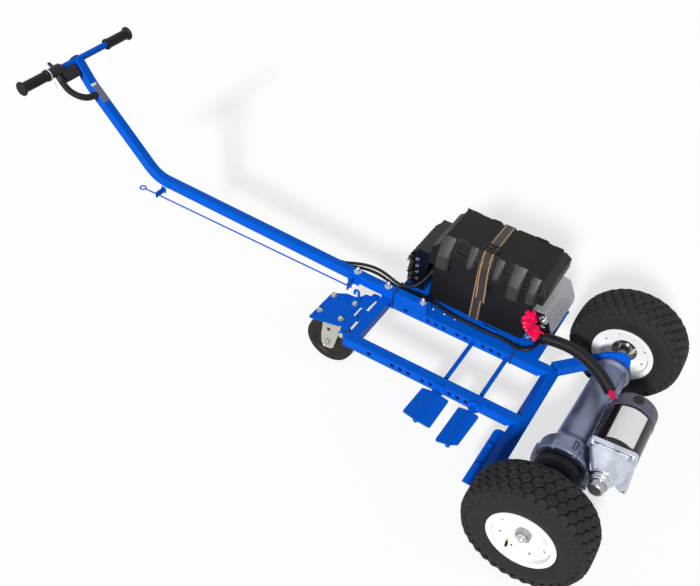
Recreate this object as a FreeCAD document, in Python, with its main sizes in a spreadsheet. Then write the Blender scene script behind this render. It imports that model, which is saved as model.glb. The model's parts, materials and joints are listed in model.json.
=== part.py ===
"""Walk-behind electric tug for tail-wheel aircraft.

Frame: +X points from the handle to the drive wheels, +Y to the handle's side, +Z up.
The origin is on the ground under the middle of the tug's length.  All lengths are in mm.
"""
import math
import os

import FreeCAD
import Part
import Sketcher

Vector = FreeCAD.Vector
X_AXIS, Y_AXIS, Z_AXIS = Vector(1, 0, 0), Vector(0, 1, 0), Vector(0, 0, 1)

SIZES = {
    # drive wheels, on one axle ahead of the middle
    "axle_x": 1043.0,
    "wheel_radius": 203.2,
    "wheel_track": 900.0,
    "tyre_width": 152.0,
    "tread_rows": 34.0,
    "tread_depth": 6.0,
    "tread_groove": 5.0,
    "tyre_shoulder": 34.0,
    "rim_radius": 110.0,
    "rim_width": 137.0,
    "rim_wall": 5.0,
    "rim_lip": 6.0,
    "rim_disc_inset": 22.0,
    "hub_radius": 40.0,
    "hub_length": 60.0,
    "rim_bolts": 8.0,
    "rim_hole_circle": 76.0,
    "rim_throat": 46.0,
    "rim_hole_radius": 4.5,
    "shaft_radius": 19.0,
    "shaft_reach": 60.0,
    "hub_cap_radius": 24.0,
    "hub_cap_length": 16.0,
    "running_gap": 0.05,
    # frame: two square rails that slope down towards the drive wheels
    "frame_slope": 4.75,
    "datum_back": 500.0,
    "datum_height": 238.2,
    "frame_middle": 36.5,
    "rail_gap": 230.0,
    "tube": 38.1,
    "tube_wall": 3.0,
    "rail_rear": 356.0,
    "rail_front": 319.0,
    "pin_hole_pitch": 31.75,
    "pin_hole_first": 249.3,
    "pin_group_rear": 154.5,
    "pin_group_middle": 35.3,
    "pin_group_front": 67.5,
    # front cross angle, apex up, and the step plate beside the near rail
    "angle_leg": 38.1,
    "angle_wall": 5.0,
    "front_reach": 342.0,
    "step_drop": 58.0,
    "step_width": 32.0,
    "step_out": 262.5,
    "step_in": 6.5,
    "step_plate": 5.0,
    "step_corner": 20.0,
    # arms and brackets that carry the drive axle
    "arm_angle": 49.0,
    "far_arm_length": 176.0,
    "near_arm_length": 112.0,
    "bracket_plate": 8.0,
    "bracket_radius": 78.0,
    # drive unit
    "housing_far_radius": 55.0,
    "housing_near_radius": 62.0,
    "housing_far_end": 273.0,
    "housing_flange": 12.0,
    "housing_flange_radius": 64.0,
    "housing_seam_angle": 38.0,
    "housing_rib": 12.0,
    "housing_rib_rise": 5.0,
    "gear_far_face": 140.0,
    "gear_near_face": 216.0,
    "gear_radius": 92.0,
    "gear_lip": 16.0,
    "gear_lip_rise": 5.0,
    "gear_bolts": 8.0,
    "gear_boss_radius": 10.0,
    "drum_radius": 80.0,
    "drum_face": 262.0,
    "stub_radius": 40.0,
    "stub_end": 336.0,
    "motor_ahead": 128.0,
    "motor_above": 48.0,
    "motor_radius": 76.0,
    "motor_far_end": 107.0,
    "motor_cap_length": 63.0,
    "motor_near_end": 138.0,
    "motor_vent_radius": 13.0,
    "motor_flange": 153.0,
    "motor_flange_plate": 18.0,
    "flange_corner": 16.0,
    "nose_neck_face": 222.0,
    "nose_neck_radius": 36.0,
    "nose_rib": 7.0,
    "foot_drop": 26.0,
    "foot_radius": 9.0,
    "nose_radius": 31.0,
    "nose_face": 250.0,
    "nose_cap_radius": 26.0,
    "nose_cap_face": 276.0,
    # handle
    "handle_start": 169.0,
    "handle_lap": 233.0,
    "handle_rise": 2.1,
    "handle_lower": 1040.0,
    "handle_bend": 43.05,
    "handle_bend_radius": 130.0,
    "handle_upper": 438.5,
    "handle_neck": 10.0,
    "handle_neck_length": 111.0,
    "handle_bolt_rear": 306.0,
    "handle_bolt_middle": 171.0,
    "handle_bolt_front": 25.0,
    "frame_bolt": 5.0,
    "tbar_radius": 12.7,
    "tbar_wall": 2.5,
    "tbar_length": 574.0,
    "grip_radius": 20.0,
    "grip_flange": 28.0,
    "grip_collar": 22.5,
    "grip_length": 130.0,
    "throttle_radius": 23.0,
    "throttle_length": 46.0,
    "clamp_radius": 20.0,
    "clamp_length": 24.0,
    "rod_radius": 3.0,
    "rod_side": 109.0,
    "rod_length": 1000.0,
    "rod_drop": 14.0,
    "rod_rise": 0.55,
    "rod_ring": 12.0,
    "latch_plate": 4.0,
    # folding caster plate, its hinge and the caster under it
    "weld_gap": 0.05,
    "washer": 1.5,
    "hinge_back": 22.0,
    "hinge_drop": 21.5,
    "hinge_pin_radius": 6.3,
    "hinge_barrel": 9.5,
    "hinge_lug_radius": 14.0,
    "hinge_middle": 52.0,
    "hinge_middle_side": 4.0,
    "hinge_lug": 8.0,
    "knuckle": 30.0,
    "knuckle_gap": 1.0,
    "plate_thickness": 6.0,
    "plate_rise": 10.0,
    "plate_front": 14.5,
    "plate_back": 144.0,
    "plate_near": 84.0,
    "plate_far": 142.0,
    "plate_clear_of_rod": 96.5,
    "staple_back": 34.0,
    "staple_radius": 5.0,
    "staple_height": 46.0,
    "caster_back": 82.0,
    "caster_side": 24.5,
    "caster_radius": 100.0,
    "caster_width": 48.0,
    "caster_trail": 28.0,
    "caster_axle_height": 100.0,
    "caster_plate": 4.5,
    "caster_bolt_length": 91.0,
    "caster_bolt_width": 97.0,
    "caster_bolt_radius": 5.0,
    "caster_bolt_edge": 11.0,
    "race_radius": 38.0,
    "race_depth": 13.0,
    "kingpin_radius": 10.0,
    "swivel_gap": 0.6,
    "fork_plate": 5.0,
    "fork_side_gap": 5.0,
    "fork_eye_radius": 25.0,
    "caster_axle_radius": 6.0,
    # lifting fingers
    "finger_radius": 8.0,
    "finger_disc_radius": 25.0,
    "finger_disc": 6.0,
    "finger_disc_gap": 0.6,
    "finger_plate": 6.0,
    "finger_fall": 13.0,
    "finger_gap": 14.0,
    "finger_tip": 4.0,
    "rear_finger_width": 102.0,
    "rear_finger_reach": 158.0,
    "rear_finger_rake": 18.0,
    "front_finger_width": 76.0,
    "front_finger_reach": 176.0,
    # battery side
    "tray_plate": 3.0,
    "tray_skirt": 30.0,
    "tray_rear": 319.0,
    "tray_front": 262.0,
    "tray_width": 300.0,
    "box_gap": 57.4,
    "box_rear": 212.0,
    "box_length": 384.0,
    "box_width": 211.0,
    "box_height": 200.0,
    "box_taper": 1.5,
    "box_wall": 4.0,
    "lid_length": 440.0,
    "lid_width": 249.0,
    "lid_foot": 167.0,
    "lid_sill": 192.0,
    "lid_ledge": 255.0,
    "lid_top": 299.0,
    "lid_rise": 6.0,
    "lid_slope": 34.0,
    "lid_wall": 4.0,
    "lid_room": 1.5,
    "post_width": 47.0,
    "pillar_width": 37.0,
    "battery_length": 328.0,
    "battery_width": 172.0,
    "battery_height": 234.0,
    "strap_width": 40.0,
    "strap_thickness": 2.5,
    "strap_offset": 0.0,
    "lid_ahead": 15.0,
    "controller_length": 78.0,
    "controller_width": 208.0,
    "controller_height": 186.0,
    "finned_length": 90.0,
    "finned_width": 238.0,
    "finned_height": 136.0,
    "fin_pitch": 9.0,
    "fin_rise": 4.0,
    "terminal_plate": 8.0,
    "boot_radius": 15.0,
    "boot_length": 30.0,
    "wire_boot_radius": 9.0,
    "gland_radius": 15.0,
    "tie_width": 5.0,
    "rear_tie_x": -306.0,
    "tray_tie_x": 46.0,
    "rail_tie_x": 176.0,
    "tie_thickness": 1.5,
    "conduit_radius": 21.0,
    "cable_radius": 6.0,
    "loom_radius": 13.5,
    "loom_boss": 41.0,
    "loom_exit_y": 52.0,
}


doc = FreeCAD.newDocument("aircraft_tug")
sheet = doc.addObject("Spreadsheet::Sheet", "sizes")
for row, (alias, value) in enumerate(SIZES.items(), 1):
    sheet.set("A%d" % row, alias)
    sheet.set("B%d" % row, str(value))
    sheet.setAlias("B%d" % row, alias)
doc.recompute()


def size(alias):
    """One driving dimension, read back from the sheet."""
    return float(sheet.get(alias))


def bind(item, **expressions):
    """Tie an object's properties to the sheet's cells."""
    for name, expression in expressions.items():
        item.setExpression(name.replace("__", "."), expression)


# ------------------------------------------------------------------ places
AXLE = Vector(size("axle_x"), 0, size("wheel_radius"))
TUBE = size("tube")
RAIL_OFFSET = (size("rail_gap") + TUBE) / 2
NEAR_RAIL_Y = size("frame_middle") - RAIL_OFFSET
FAR_RAIL_Y = size("frame_middle") + RAIL_OFFSET
HALF_TRACK = size("wheel_track") / 2

# The frame's own axes: x along the rails (forward), y across, z square to the rails' top.
FRAME_TURN = FreeCAD.Rotation(Y_AXIS, size("frame_slope"))
FRAME_BASE = Vector(size("axle_x") - size("datum_back"), 0, size("datum_height"))


def on_frame(x, y, z, turn=None):
    """A placement given in the frame's own axes."""
    spot = FreeCAD.Placement(Vector(x, y, z), turn or FreeCAD.Rotation())
    return FreeCAD.Placement(FRAME_BASE, FRAME_TURN).multiply(spot)


def at(x, y, z, turn=None):
    """A placement given in the tug's axes."""
    return FreeCAD.Placement(Vector(x, y, z), turn or FreeCAD.Rotation())


ALONG_Y = FreeCAD.Rotation(X_AXIS, -90)
ALONG_X = FreeCAD.Rotation(Y_AXIS, 90)

NODES = []


def keep(item, label):
    """Name a finished sub-part."""
    item.Label = label
    NODES.append(item)
    return item


# ------------------------------------------------------------------ makers
def corner_edges(points, closed=True):
    """Lines and corner arcs through points given as (x, y) or (x, y, corner radius)."""
    count = len(points)
    spots = [Vector(p[0], p[1], 0) for p in points]
    radii = [p[2] if len(p) > 2 else 0 for p in points]
    entry, leave, edges = list(spots), list(spots), []
    for i in range(count):
        if not radii[i] or (not closed and i in (0, count - 1)):
            continue
        before = (spots[i - 1] - spots[i]).normalize()
        after = (spots[(i + 1) % count] - spots[i]).normalize()
        half = before.getAngle(after) / 2
        reach = radii[i] / math.tan(half)
        entry[i] = spots[i] + before * reach
        leave[i] = spots[i] + after * reach
        middle = (before + after).normalize()
        top = spots[i] + middle * (radii[i] / math.sin(half) - radii[i])
        edges.append((i, Part.Arc(entry[i], top, leave[i])))
    arcs = dict(edges)
    result = []
    for i in range(count if closed else count - 1):
        if i in arcs:
            result.append(arcs[i])
        j = (i + 1) % count
        if (entry[j] - leave[i]).Length > 1e-6:
            result.append(Part.LineSegment(leave[i], entry[j]))
    return result


def new_body(name):
    return doc.addObject("PartDesign::Body", name)


def new_sketch(body, role, name, offset=0.0):
    """A sketch on one of the body's own origin planes."""
    sketch = body.newObject("Sketcher::SketchObject", name)
    plane = next(item for item in body.Origin.OriginFeatures if item.Role == role)
    sketch.AttachmentSupport = [(plane, "")]
    sketch.MapMode = "FlatFace"
    if offset:
        sketch.AttachmentOffset = FreeCAD.Placement(Vector(0, 0, offset), FreeCAD.Rotation())
    return sketch


def circle(sketch, x, y, expression, name):
    """A circle whose radius is tied to the sheet."""
    index = sketch.addGeometry(Part.Circle(Vector(x, y, 0), Z_AXIS, 10.0))
    number = sketch.addConstraint(Sketcher.Constraint("Radius", index, 10.0))
    sketch.renameConstraint(number, name)
    sketch.setExpression("Constraints." + name, expression)
    return index


def pad(body, sketch, length, middle=False):
    """Pad a sketch by a length tied to the sheet."""
    feature = body.newObject("PartDesign::Pad", body.Name + "_pad")
    feature.Profile = sketch
    if middle:
        feature.SideType = "Symmetric"
    feature.setExpression("Length", length)
    return feature


def padded(name, role, points, length, middle=True, holes=()):
    """A plate: an outline with round holes (x, y, radius expression), padded."""
    body = new_body(name)
    sketch = new_sketch(body, role, name + "_outline")
    for edge in corner_edges(points):
        sketch.addGeometry(edge)
    for number, (x, y, expression) in enumerate(holes):
        circle(sketch, x, y, expression, "hole%d" % number)
    pad(body, sketch, length, middle)
    return body


def turned(name, profile):
    """A revolved piece about the y axis: profile points are (radius, y[, corner radius])."""
    body = new_body(name)
    sketch = new_sketch(body, "XY_Plane", name + "_profile")
    for edge in corner_edges(profile):
        sketch.addGeometry(edge)
    feature = body.newObject("PartDesign::Revolution", name + "_turn")
    feature.Profile = sketch
    feature.ReferenceAxis = (sketch, ["V_Axis"])
    feature.Angle = 360.0
    return body


def box(name, place=None, **sizes_of):
    item = doc.addObject("Part::Box", name)
    bind(item, **sizes_of)
    if place:
        item.Placement = place
    return item


def cylinder(name, radius, height, place=None):
    item = doc.addObject("Part::Cylinder", name)
    bind(item, Radius=radius, Height=height)
    if place:
        item.Placement = place
    return item


def cut(name, base, tool):
    item = doc.addObject("Part::Cut", name)
    item.Base = base
    item.Tool = tool
    return item


def common(name, base, tool):
    item = doc.addObject("Part::Common", name)
    item.Base = base
    item.Tool = tool
    return item


def fuse(name, *shapes):
    item = doc.addObject("Part::MultiFuse", name)
    item.Shapes = list(shapes)
    return item


def square_tube(name, length):
    """A square tube along +x, its top at z = 0 and its middle at y = 0."""
    outer = box(name + "_outer", at(0, -TUBE / 2, -TUBE), Length=length, Width="sizes.tube",
                Height="sizes.tube")
    wall = size("tube_wall")
    inner = box(name + "_inner", at(-1, wall - TUBE / 2, wall - TUBE),
                Length=length + " + 2", Width="sizes.tube - 2 * sizes.tube_wall",
                Height="sizes.tube - 2 * sizes.tube_wall")
    return cut(name + "_tube", outer, inner)


def group(name, *shapes):
    """Several equal loose pieces, such as a set of bolts, kept as one sub-part."""
    item = doc.addObject("Part::Compound", name)
    item.Links = list(shapes)
    return item


def bolt(name, place, shank, length):
    """A hexagon-headed bolt along z: the head sits on z = 0 and the shank runs down."""
    head_item = doc.addObject("Part::Prism", name + "_head")
    bind(head_item, Circumradius="%s * 1.85" % shank, Height="%s * 1.2" % shank)
    washer = cylinder(name + "_washer", "%s * 2.1" % shank, "sizes.washer")
    head_item.Placement = at(0, 0, size("washer"))
    stem = cylinder(name + "_stem", shank, str(length), at(0, 0, -length))
    item = fuse(name, head_item, washer, stem)
    item.Placement = place
    return item


# ------------------------------------------------------------------ frame
def pin_hole_places():
    """Where the rails are drilled, along the frame's x."""
    pitch = size("pin_hole_pitch")
    places = [-size("pin_hole_first")]
    places += [-size("pin_group_rear") + i * pitch for i in range(3)]
    places += [-size("pin_group_middle") + i * pitch for i in range(3)]
    places += [size("pin_group_front") + i * pitch for i in range(4)]
    return places


FINGER_PLACES = (pin_hole_places()[6], pin_hole_places()[10])


def rail(label, y):
    """A square rail, drilled across and mitred under the front cross angle."""
    tube = square_tube(label, "sizes.rail_rear + sizes.rail_front")
    drills = []
    for number, place in enumerate(pin_hole_places()):
        spot = at(place + size("rail_rear"), -TUBE, -TUBE / 2, ALONG_Y)
        drills.append(cylinder("%s_drill%d" % (label, number), "sizes.finger_radius + sizes.running_gap",
                               "2 * sizes.tube", spot))
    mitre = box(label + "_mitre", at(size("rail_rear") + size("rail_front"), -TUBE, 0,
                                     FreeCAD.Rotation(Y_AXIS, 45)), Length="2 * sizes.tube",
                Width="2 * sizes.tube", Height="3 * sizes.tube")
    mitre.Placement = at(size("rail_rear") + size("rail_front"), -TUBE, 0,
                         FreeCAD.Rotation(Y_AXIS, 45)).multiply(at(0, 0, -2 * TUBE))
    item = cut(label + "_cut", tube, fuse(label + "_tools", mitre, *drills))
    item.Placement = on_frame(-size("rail_rear"), y, 0)
    return keep(item, label)


rail("near_rail", NEAR_RAIL_Y)
rail("far_rail", FAR_RAIL_Y)

cross_tube = box("rear_cross_outer", at(0, 0, 0), Length="sizes.tube", Width="sizes.rail_gap",
                 Height="sizes.tube")
cross_bore = box("rear_cross_inner", at(size("tube_wall"), -1, size("tube_wall")),
                 Length="sizes.tube - 2 * sizes.tube_wall", Width="sizes.rail_gap + 2",
                 Height="sizes.tube - 2 * sizes.tube_wall")
rear_cross = cut("rear_cross", cross_tube, cross_bore)
rear_cross.Placement = on_frame(5 - size("rail_rear"), size("frame_middle") - size("rail_gap") / 2, -TUBE)
keep(rear_cross, "rear_cross_tube")

APEX_X = size("rail_front") + size("weld_gap")
leg = size("angle_leg") / math.sqrt(2)
skin = size("angle_wall") * math.sqrt(2)
FAR_EDGE = FAR_RAIL_Y + TUBE / 2
front_span = "sizes.front_reach + sizes.frame_middle + sizes.rail_gap / 2 + sizes.tube"
front = padded("front_cross", "XZ_Plane", [(0, 0, 4), (leg, -leg), (leg - skin / 2, -leg - skin / 2),
                                           (0, -skin), (skin / 2 - leg, -leg - skin / 2), (-leg, -leg)],
               front_span)
FRONT_MIDDLE_Y = (FAR_EDGE - size("front_reach")) / 2
front.Placement = on_frame(APEX_X, FRONT_MIDDLE_Y, 0)
keep(front, "front_cross_angle")

step = size("step_plate")
drop = size("step_drop")
toe = -leg - 6
step_plate = padded("step", "XZ_Plane", [(toe - size("step_width"), -drop), (toe, -drop),
                                         (-leg - 0.5, -leg - skin / 2 - 1), (-leg + 6, -leg - skin / 2 - 5),
                                         (toe + 4, -drop - step), (toe - size("step_width"), -drop - step)],
                    "sizes.step_out - sizes.step_in")
STEP_NEAR_Y = NEAR_RAIL_Y - TUBE / 2 - size("step_in")
step_plate.Placement = at(0, STEP_NEAR_Y - (size("step_out") - size("step_in")) / 2, 0)
corner = size("step_corner")
corner_block = box("step_corner_block", at(toe - size("step_width") - 1, STEP_NEAR_Y - corner, -100),
                   Length="sizes.step_corner + 1", Width="sizes.step_corner + 1", Height="100")
corner_round = cylinder("step_corner_round", "sizes.step_corner", "100",
                        at(toe - size("step_width") + corner, STEP_NEAR_Y - corner, -100))
step_plate = cut("step_rounded", step_plate, cut("step_corner_tool", corner_block, corner_round))
step_plate.Placement = on_frame(APEX_X, 0, 0)
keep(step_plate, "near_step_plate")

# ------------------------------------------------------------------ drive wheels
def tyre_profile():
    """Half the outline is mirrored: bead, sidewall, shoulder and the grooves between the tread's rows."""
    r, half, bead = size("wheel_radius"), size("tyre_width") / 2, size("rim_radius")
    shoulder, depth, groove = size("tyre_shoulder"), size("tread_depth"), size("tread_groove") / 2
    seat = size("rim_width") / 2 - size("rim_lip") - 1
    inner_row, outer_row = half * 0.25, half * 0.68
    side = [(bead - 12, seat), (bead + 8, seat + 4, 6), (bead + 34, half - 2, 30), (r - shoulder, half, 22),
            (r - 7, half - 17, 10), (r - 2, outer_row + groove), (r - 2 - depth, outer_row + groove),
            (r - 1.5 - depth, outer_row - groove), (r - 1.5, outer_row - groove), (r, inner_row + groove),
            (r - depth, inner_row + groove), (r - depth, inner_row - groove), (r, inner_row - groove)]
    mirrored = [(p[0], -p[1]) + tuple(p[2:]) for p in side]
    return mirrored + side[::-1]


def tread_slots(body, name, rows, phase):
    """Slots across some rows of the tread: one pocket, patterned round the axle."""
    sketch = new_sketch(body, "XY_Plane", name + "_slots", 0.0)
    turn = FreeCAD.Rotation(Y_AXIS, phase)
    reach = size("wheel_radius") + 5
    sketch.AttachmentOffset = FreeCAD.Placement(turn.multVec(Vector(0, 0, reach)), turn)
    half = size("tread_groove") / 2
    for low, high in rows:
        for edge in corner_edges([(-half, low), (half, low), (half, high), (-half, high)]):
            sketch.addGeometry(edge)
    pocket = body.newObject("PartDesign::Pocket", name + "_pocket")
    pocket.Profile = sketch
    pocket.setExpression("Length", "sizes.tread_depth + 6.5")
    body.Tip = pocket
    pattern = body.newObject("PartDesign::PolarPattern", name + "_pattern")
    pattern.Originals = [pocket]
    pattern.Axis = (next(i for i in body.Origin.OriginFeatures if i.Role == "Y_Axis"), [""])
    pattern.Angle = 360.0
    pattern.setExpression("Occurrences", "sizes.tread_rows")
    body.Tip = pattern


def tyre(label, y):
    """A low-pressure turf tyre on its rim seat, its tread cut into five rows of blocks."""
    item = turned(label, tyre_profile())
    half = size("tyre_width") / 2
    groove = size("tread_groove") / 2
    inner, outer, edge = half * 0.25, half * 0.68, half + 4
    tread_slots(item, label + "_even", [(-inner, inner), (outer, edge), (-edge, -outer)], 0.0)
    tread_slots(item, label + "_odd", [(inner - groove, outer + groove), (-outer - groove, groove - inner)],
                180.0 / size("tread_rows"))
    item.Placement = at(AXLE.x, y, AXLE.z)
    return keep(item, label)


def rim(label, y, side):
    """A pressed steel rim: bead seats, drop well and a dished disc on each side, with vent holes.

    side is +1 where +y is outboard.
    """
    r, half = size("rim_radius"), size("rim_width") / 2
    wall, lip, inset = size("rim_wall"), size("rim_lip"), size("rim_disc_inset")
    seat, well = r - 12.5, r - 26.5
    bead, step, drop = half - lip, half / 3, half / 4
    outside = [(r, half), (r, half - lip / 2), (seat, bead), (seat, step), (well, drop)]
    inside = [(seat - wall, half - 1), (seat - wall, step + 3), (well - wall, drop + 3)]
    barrel = turned(label + "_barrel", [(p, -q) for p, q in outside] + outside[::-1] + inside
                    + [(p, -q) for p, q in inside[::-1]])
    face = side * (half - inset)
    hub_face = face - side * 10
    out = seat - wall
    disc = turned(label + "_disc", [
        (out + 1, face + side * 4), (out - 14, face + side * 2, 8), (size("hub_radius") + 12, hub_face, 8),
        (size("shaft_radius"), hub_face), (size("shaft_radius"), hub_face - side * wall),
        (size("hub_radius") + 12, hub_face - side * wall, 8), (out - 14, face + side * (2 - wall), 8),
        (out + 1, face + side * (4 - wall))])
    throat = size("rim_throat")
    inner_disc = turned(label + "_inner_disc", [(out + 1, -face - side * 4),
                                                (out - 14, -face - side * 2, 8), (throat, -face + side * 4),
                                                (throat, -face + side * (4 + wall)),
                                                (out - 14, -face + side * (wall - 2), 8),
                                                (out + 1, -face + side * (wall - 4))])
    drills = []
    for number in range(int(size("rim_bolts"))):
        turn = math.radians((number + 0.5) * 360 / size("rim_bolts"))
        reach = size("rim_hole_circle")
        drills.append(cylinder("%s_vent%d" % (label, number), "sizes.rim_hole_radius", "sizes.rim_width",
                               at(reach * math.sin(turn), -half, reach * math.cos(turn), ALONG_Y)))
    discs = fuse(label + "_fused", barrel, disc, inner_disc)
    item = cut(label + "_drilled", discs, fuse(label + "_drills", *drills))
    item.Placement = at(AXLE.x, y, AXLE.z)
    return keep(item, label)


def axle_shaft(label, y, side, housing_end):
    """The half shaft with its flanged hub and nut; it turns in the housing's bore."""
    half = size("rim_width") / 2
    face = y + side * (half - size("rim_disc_inset") - 10)
    disc_back = face - side * size("rim_wall")
    inner = housing_end - side * size("shaft_reach")
    r, hub = size("shaft_radius"), size("hub_radius")
    points = [(0, inner), (r, inner), (r, disc_back - side * size("hub_length")),
              (hub * 0.62, disc_back - side * size("hub_length")), (hub * 0.62, disc_back - side * 12),
              (hub, disc_back - side * 12), (hub, disc_back), (r, disc_back), (r, face),
              (size("hub_cap_radius"), face), (size("hub_cap_radius"), face + side * size("hub_cap_length")),
              (0, face + side * size("hub_cap_length"))]
    item = turned(label, points)
    item.Placement = at(AXLE.x, 0, AXLE.z)
    return keep(item, label)


def mirrored(label, source):
    """The far-side twin of a near-side piece."""
    item = doc.addObject("Part::Mirroring", label + "_mirror")
    item.Source = source
    item.Normal = Y_AXIS
    return keep(item, label)


mirrored("far_tyre", tyre("near_tyre", -HALF_TRACK))
mirrored("far_rim", rim("near_rim", -HALF_TRACK, -1))
axle_shaft("near_axle_shaft", -HALF_TRACK, -1, -size("stub_end"))
axle_shaft("far_axle_shaft", HALF_TRACK, 1, size("housing_far_end") + size("housing_flange"))

# ------------------------------------------------------------------ drive unit
BORE = size("shaft_radius") + size("running_gap")
FAR_END, GEAR_FAR = size("housing_far_end"), -size("gear_far_face")
GEAR_NEAR, DRUM_FACE, STUB_END = -size("gear_near_face"), -size("drum_face"), -size("stub_end")
FLANGE_END = FAR_END + size("housing_flange")
REACH = size("shaft_reach")


def around(count, radius, start=0.0):
    """Points of a bolt circle in the plane square to the axle, as (x, z)."""
    turns = [math.radians(start + 360.0 * i / count) for i in range(int(count))]
    return [(radius * math.cos(turn), radius * math.sin(turn)) for turn in turns]


def drive_housing():
    """The long half of the transaxle: a tapered casting, split lengthways between two bolted ribs."""
    near, far, lip = size("housing_near_radius"), size("housing_far_radius"), size("housing_flange_radius")
    shell = turned("axle_housing_body", [
        (0, GEAR_FAR), (near + 10, GEAR_FAR), (near + 10, GEAR_FAR + 10, 6), (near, GEAR_FAR + 34, 30),
        (far, FAR_END - 70, 60), (far, FAR_END - 16, 8), (lip, FAR_END - 4, 5), (lip, FLANGE_END, 3),
        (BORE, FLANGE_END), (BORE, FLANGE_END - REACH - 2), (0, FLANGE_END - REACH - 2)])
    ribs = []
    for number in (0, 1):
        turn = FreeCAD.Rotation(Y_AXIS, -size("housing_seam_angle") - 180 * number)
        rib = box("seam_rib%d" % number, None, Length="sizes.housing_near_radius + sizes.housing_rib_rise",
                  Width="sizes.housing_far_end + sizes.gear_far_face - 12", Height="sizes.housing_rib")
        rib_start = at(0, GEAR_FAR + 2, -size("housing_rib") / 2)
        rib.Placement = FreeCAD.Placement(Vector(), turn).multiply(rib_start)
        groove = box("seam_groove%d" % number, None, Length="20",
                     Width="sizes.housing_far_end + sizes.gear_far_face", Height="1.6")
        groove_start = at(size("housing_near_radius") + 1, GEAR_FAR, -0.8)
        groove.Placement = FreeCAD.Placement(Vector(), turn).multiply(groove_start)
        taper = padded("seam_taper%d" % number, "XY_Plane", [
            (0, GEAR_FAR), (near + size("housing_rib_rise"), GEAR_FAR),
            (far + size("housing_rib_rise"), FAR_END - 6, 4), (0, FAR_END - 6)], "sizes.housing_rib")
        taper.Placement = FreeCAD.Placement(Vector(), turn)
        ribs.append(cut("seam_rib_cut%d" % number, common("seam_rib_form%d" % number, rib, taper), groove))
    item = fuse("axle_housing_fused", shell, *ribs)
    housing_bore = cylinder("housing_bore", str(BORE), str(REACH + 2),
                            at(0, FLANGE_END - REACH - 2, 0, ALONG_Y))
    motor_room = cylinder("motor_room", "sizes.motor_radius + 2.5", "400",
                          at(size("motor_ahead"), GEAR_FAR, size("motor_above"), ALONG_Y))
    item = cut("axle_housing_cut", item, fuse("axle_housing_tools", housing_bore, motor_room))
    item.Placement = at(AXLE.x, 0, AXLE.z)
    return keep(item, "axle_housing")


drive_housing()


def gear_housing():
    """The round gear case: a lip with bolt bosses at its near edge and a pocket round one long bolt."""
    r, lip, rise = size("gear_radius"), size("gear_lip"), size("gear_lip_rise")
    drum = turned("gear_case_body", [(0, GEAR_FAR), (r - 8, GEAR_FAR), (r, GEAR_FAR - 10, 5),
                                     (r, GEAR_NEAR + lip), (r + rise, GEAR_NEAR + lip, 1.5),
                                     (r + rise, GEAR_NEAR, 3), (0, GEAR_NEAR)])
    bosses, pockets = [], []
    for number, (x, z) in enumerate(around(size("gear_bolts"), r - 2, 22.5)):
        bosses.append(cylinder("gear_boss%d" % number, "sizes.gear_boss_radius", "sizes.gear_lip + 16",
                               at(x, GEAR_NEAR - 0.01, z, ALONG_Y)))
        bosses.append(cylinder("gear_screw%d" % number, "sizes.gear_boss_radius * 0.55", "5",
                               at(x, GEAR_NEAR - 4, z, ALONG_Y)))
    pocket = padded("gear_pocket", "XY_Plane", [(-10, -22, 9.9), (10, -22, 9.9), (10, 22, 9.9),
                                                (-10, 22, 9.9)], "40", middle=False)
    turn = FreeCAD.Rotation(Y_AXIS, 90 - 74)
    middle = (GEAR_FAR + GEAR_NEAR) / 2
    pocket.Placement = FreeCAD.Placement(Vector(), turn).multiply(at(0, middle + 4, r - 12))
    stud = cylinder("gear_stud", "5", "34")
    stud.Placement = FreeCAD.Placement(Vector(), turn).multiply(at(0, middle - 16, r - 9, ALONG_Y))
    item = fuse("gear_case_fused", cut("gear_case_pocketed", fuse("gear_case_bossed", drum, *bosses),
                                       pocket), stud)
    item.Placement = at(AXLE.x, 0, AXLE.z)
    return keep(item, "gear_case")


gear_housing()

drum_r = size("drum_radius")
drum = turned("brake_drum_body", [(0, GEAR_NEAR - 4.05), (drum_r - 12, GEAR_NEAR - 4.05),
                                  (drum_r, GEAR_NEAR - 12, 4), (drum_r, DRUM_FACE + 12, 4),
                                  (drum_r - 6, DRUM_FACE + 6), (drum_r - 14, DRUM_FACE, 4), (0, DRUM_FACE)])
drum.Placement = at(AXLE.x, 0, AXLE.z)
keep(drum, "brake_drum")

stub = turned("stub_housing_body", [
    (0, DRUM_FACE), (size("stub_radius") + 10, DRUM_FACE), (size("stub_radius") + 10, DRUM_FACE - 8, 2),
    (size("stub_radius"), DRUM_FACE - 16, 6), (size("stub_radius"), STUB_END, 2), (BORE, STUB_END),
    (BORE, STUB_END + REACH + 2), (0, STUB_END + REACH + 2)])
stub.Placement = at(AXLE.x, 0, AXLE.z)
keep(stub, "stub_housing")

MOTOR = Vector(AXLE.x + size("motor_ahead"), 0, AXLE.z + size("motor_above"))
MOTOR_NEAR, MOTOR_FAR = -size("motor_near_end"), size("motor_far_end")
CAP_START = MOTOR_FAR - size("motor_cap_length")
FLANGE_NEAR = MOTOR_NEAR - size("motor_flange_plate")
motor_r = size("motor_radius")
motor_can = turned("motor_can_body", [(0, MOTOR_NEAR), (motor_r, MOTOR_NEAR), (motor_r, CAP_START),
                                      (0, CAP_START)])
case_room = cylinder("case_room", "sizes.housing_near_radius + 11", "sizes.gear_far_face",
                     at(AXLE.x - MOTOR.x, GEAR_FAR, AXLE.z - MOTOR.z, ALONG_Y))
motor_body = cut("motor_can_cut", motor_can, case_room)
motor_body.Placement = at(MOTOR.x, 0, MOTOR.z)
keep(motor_body, "motor_can")

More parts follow.
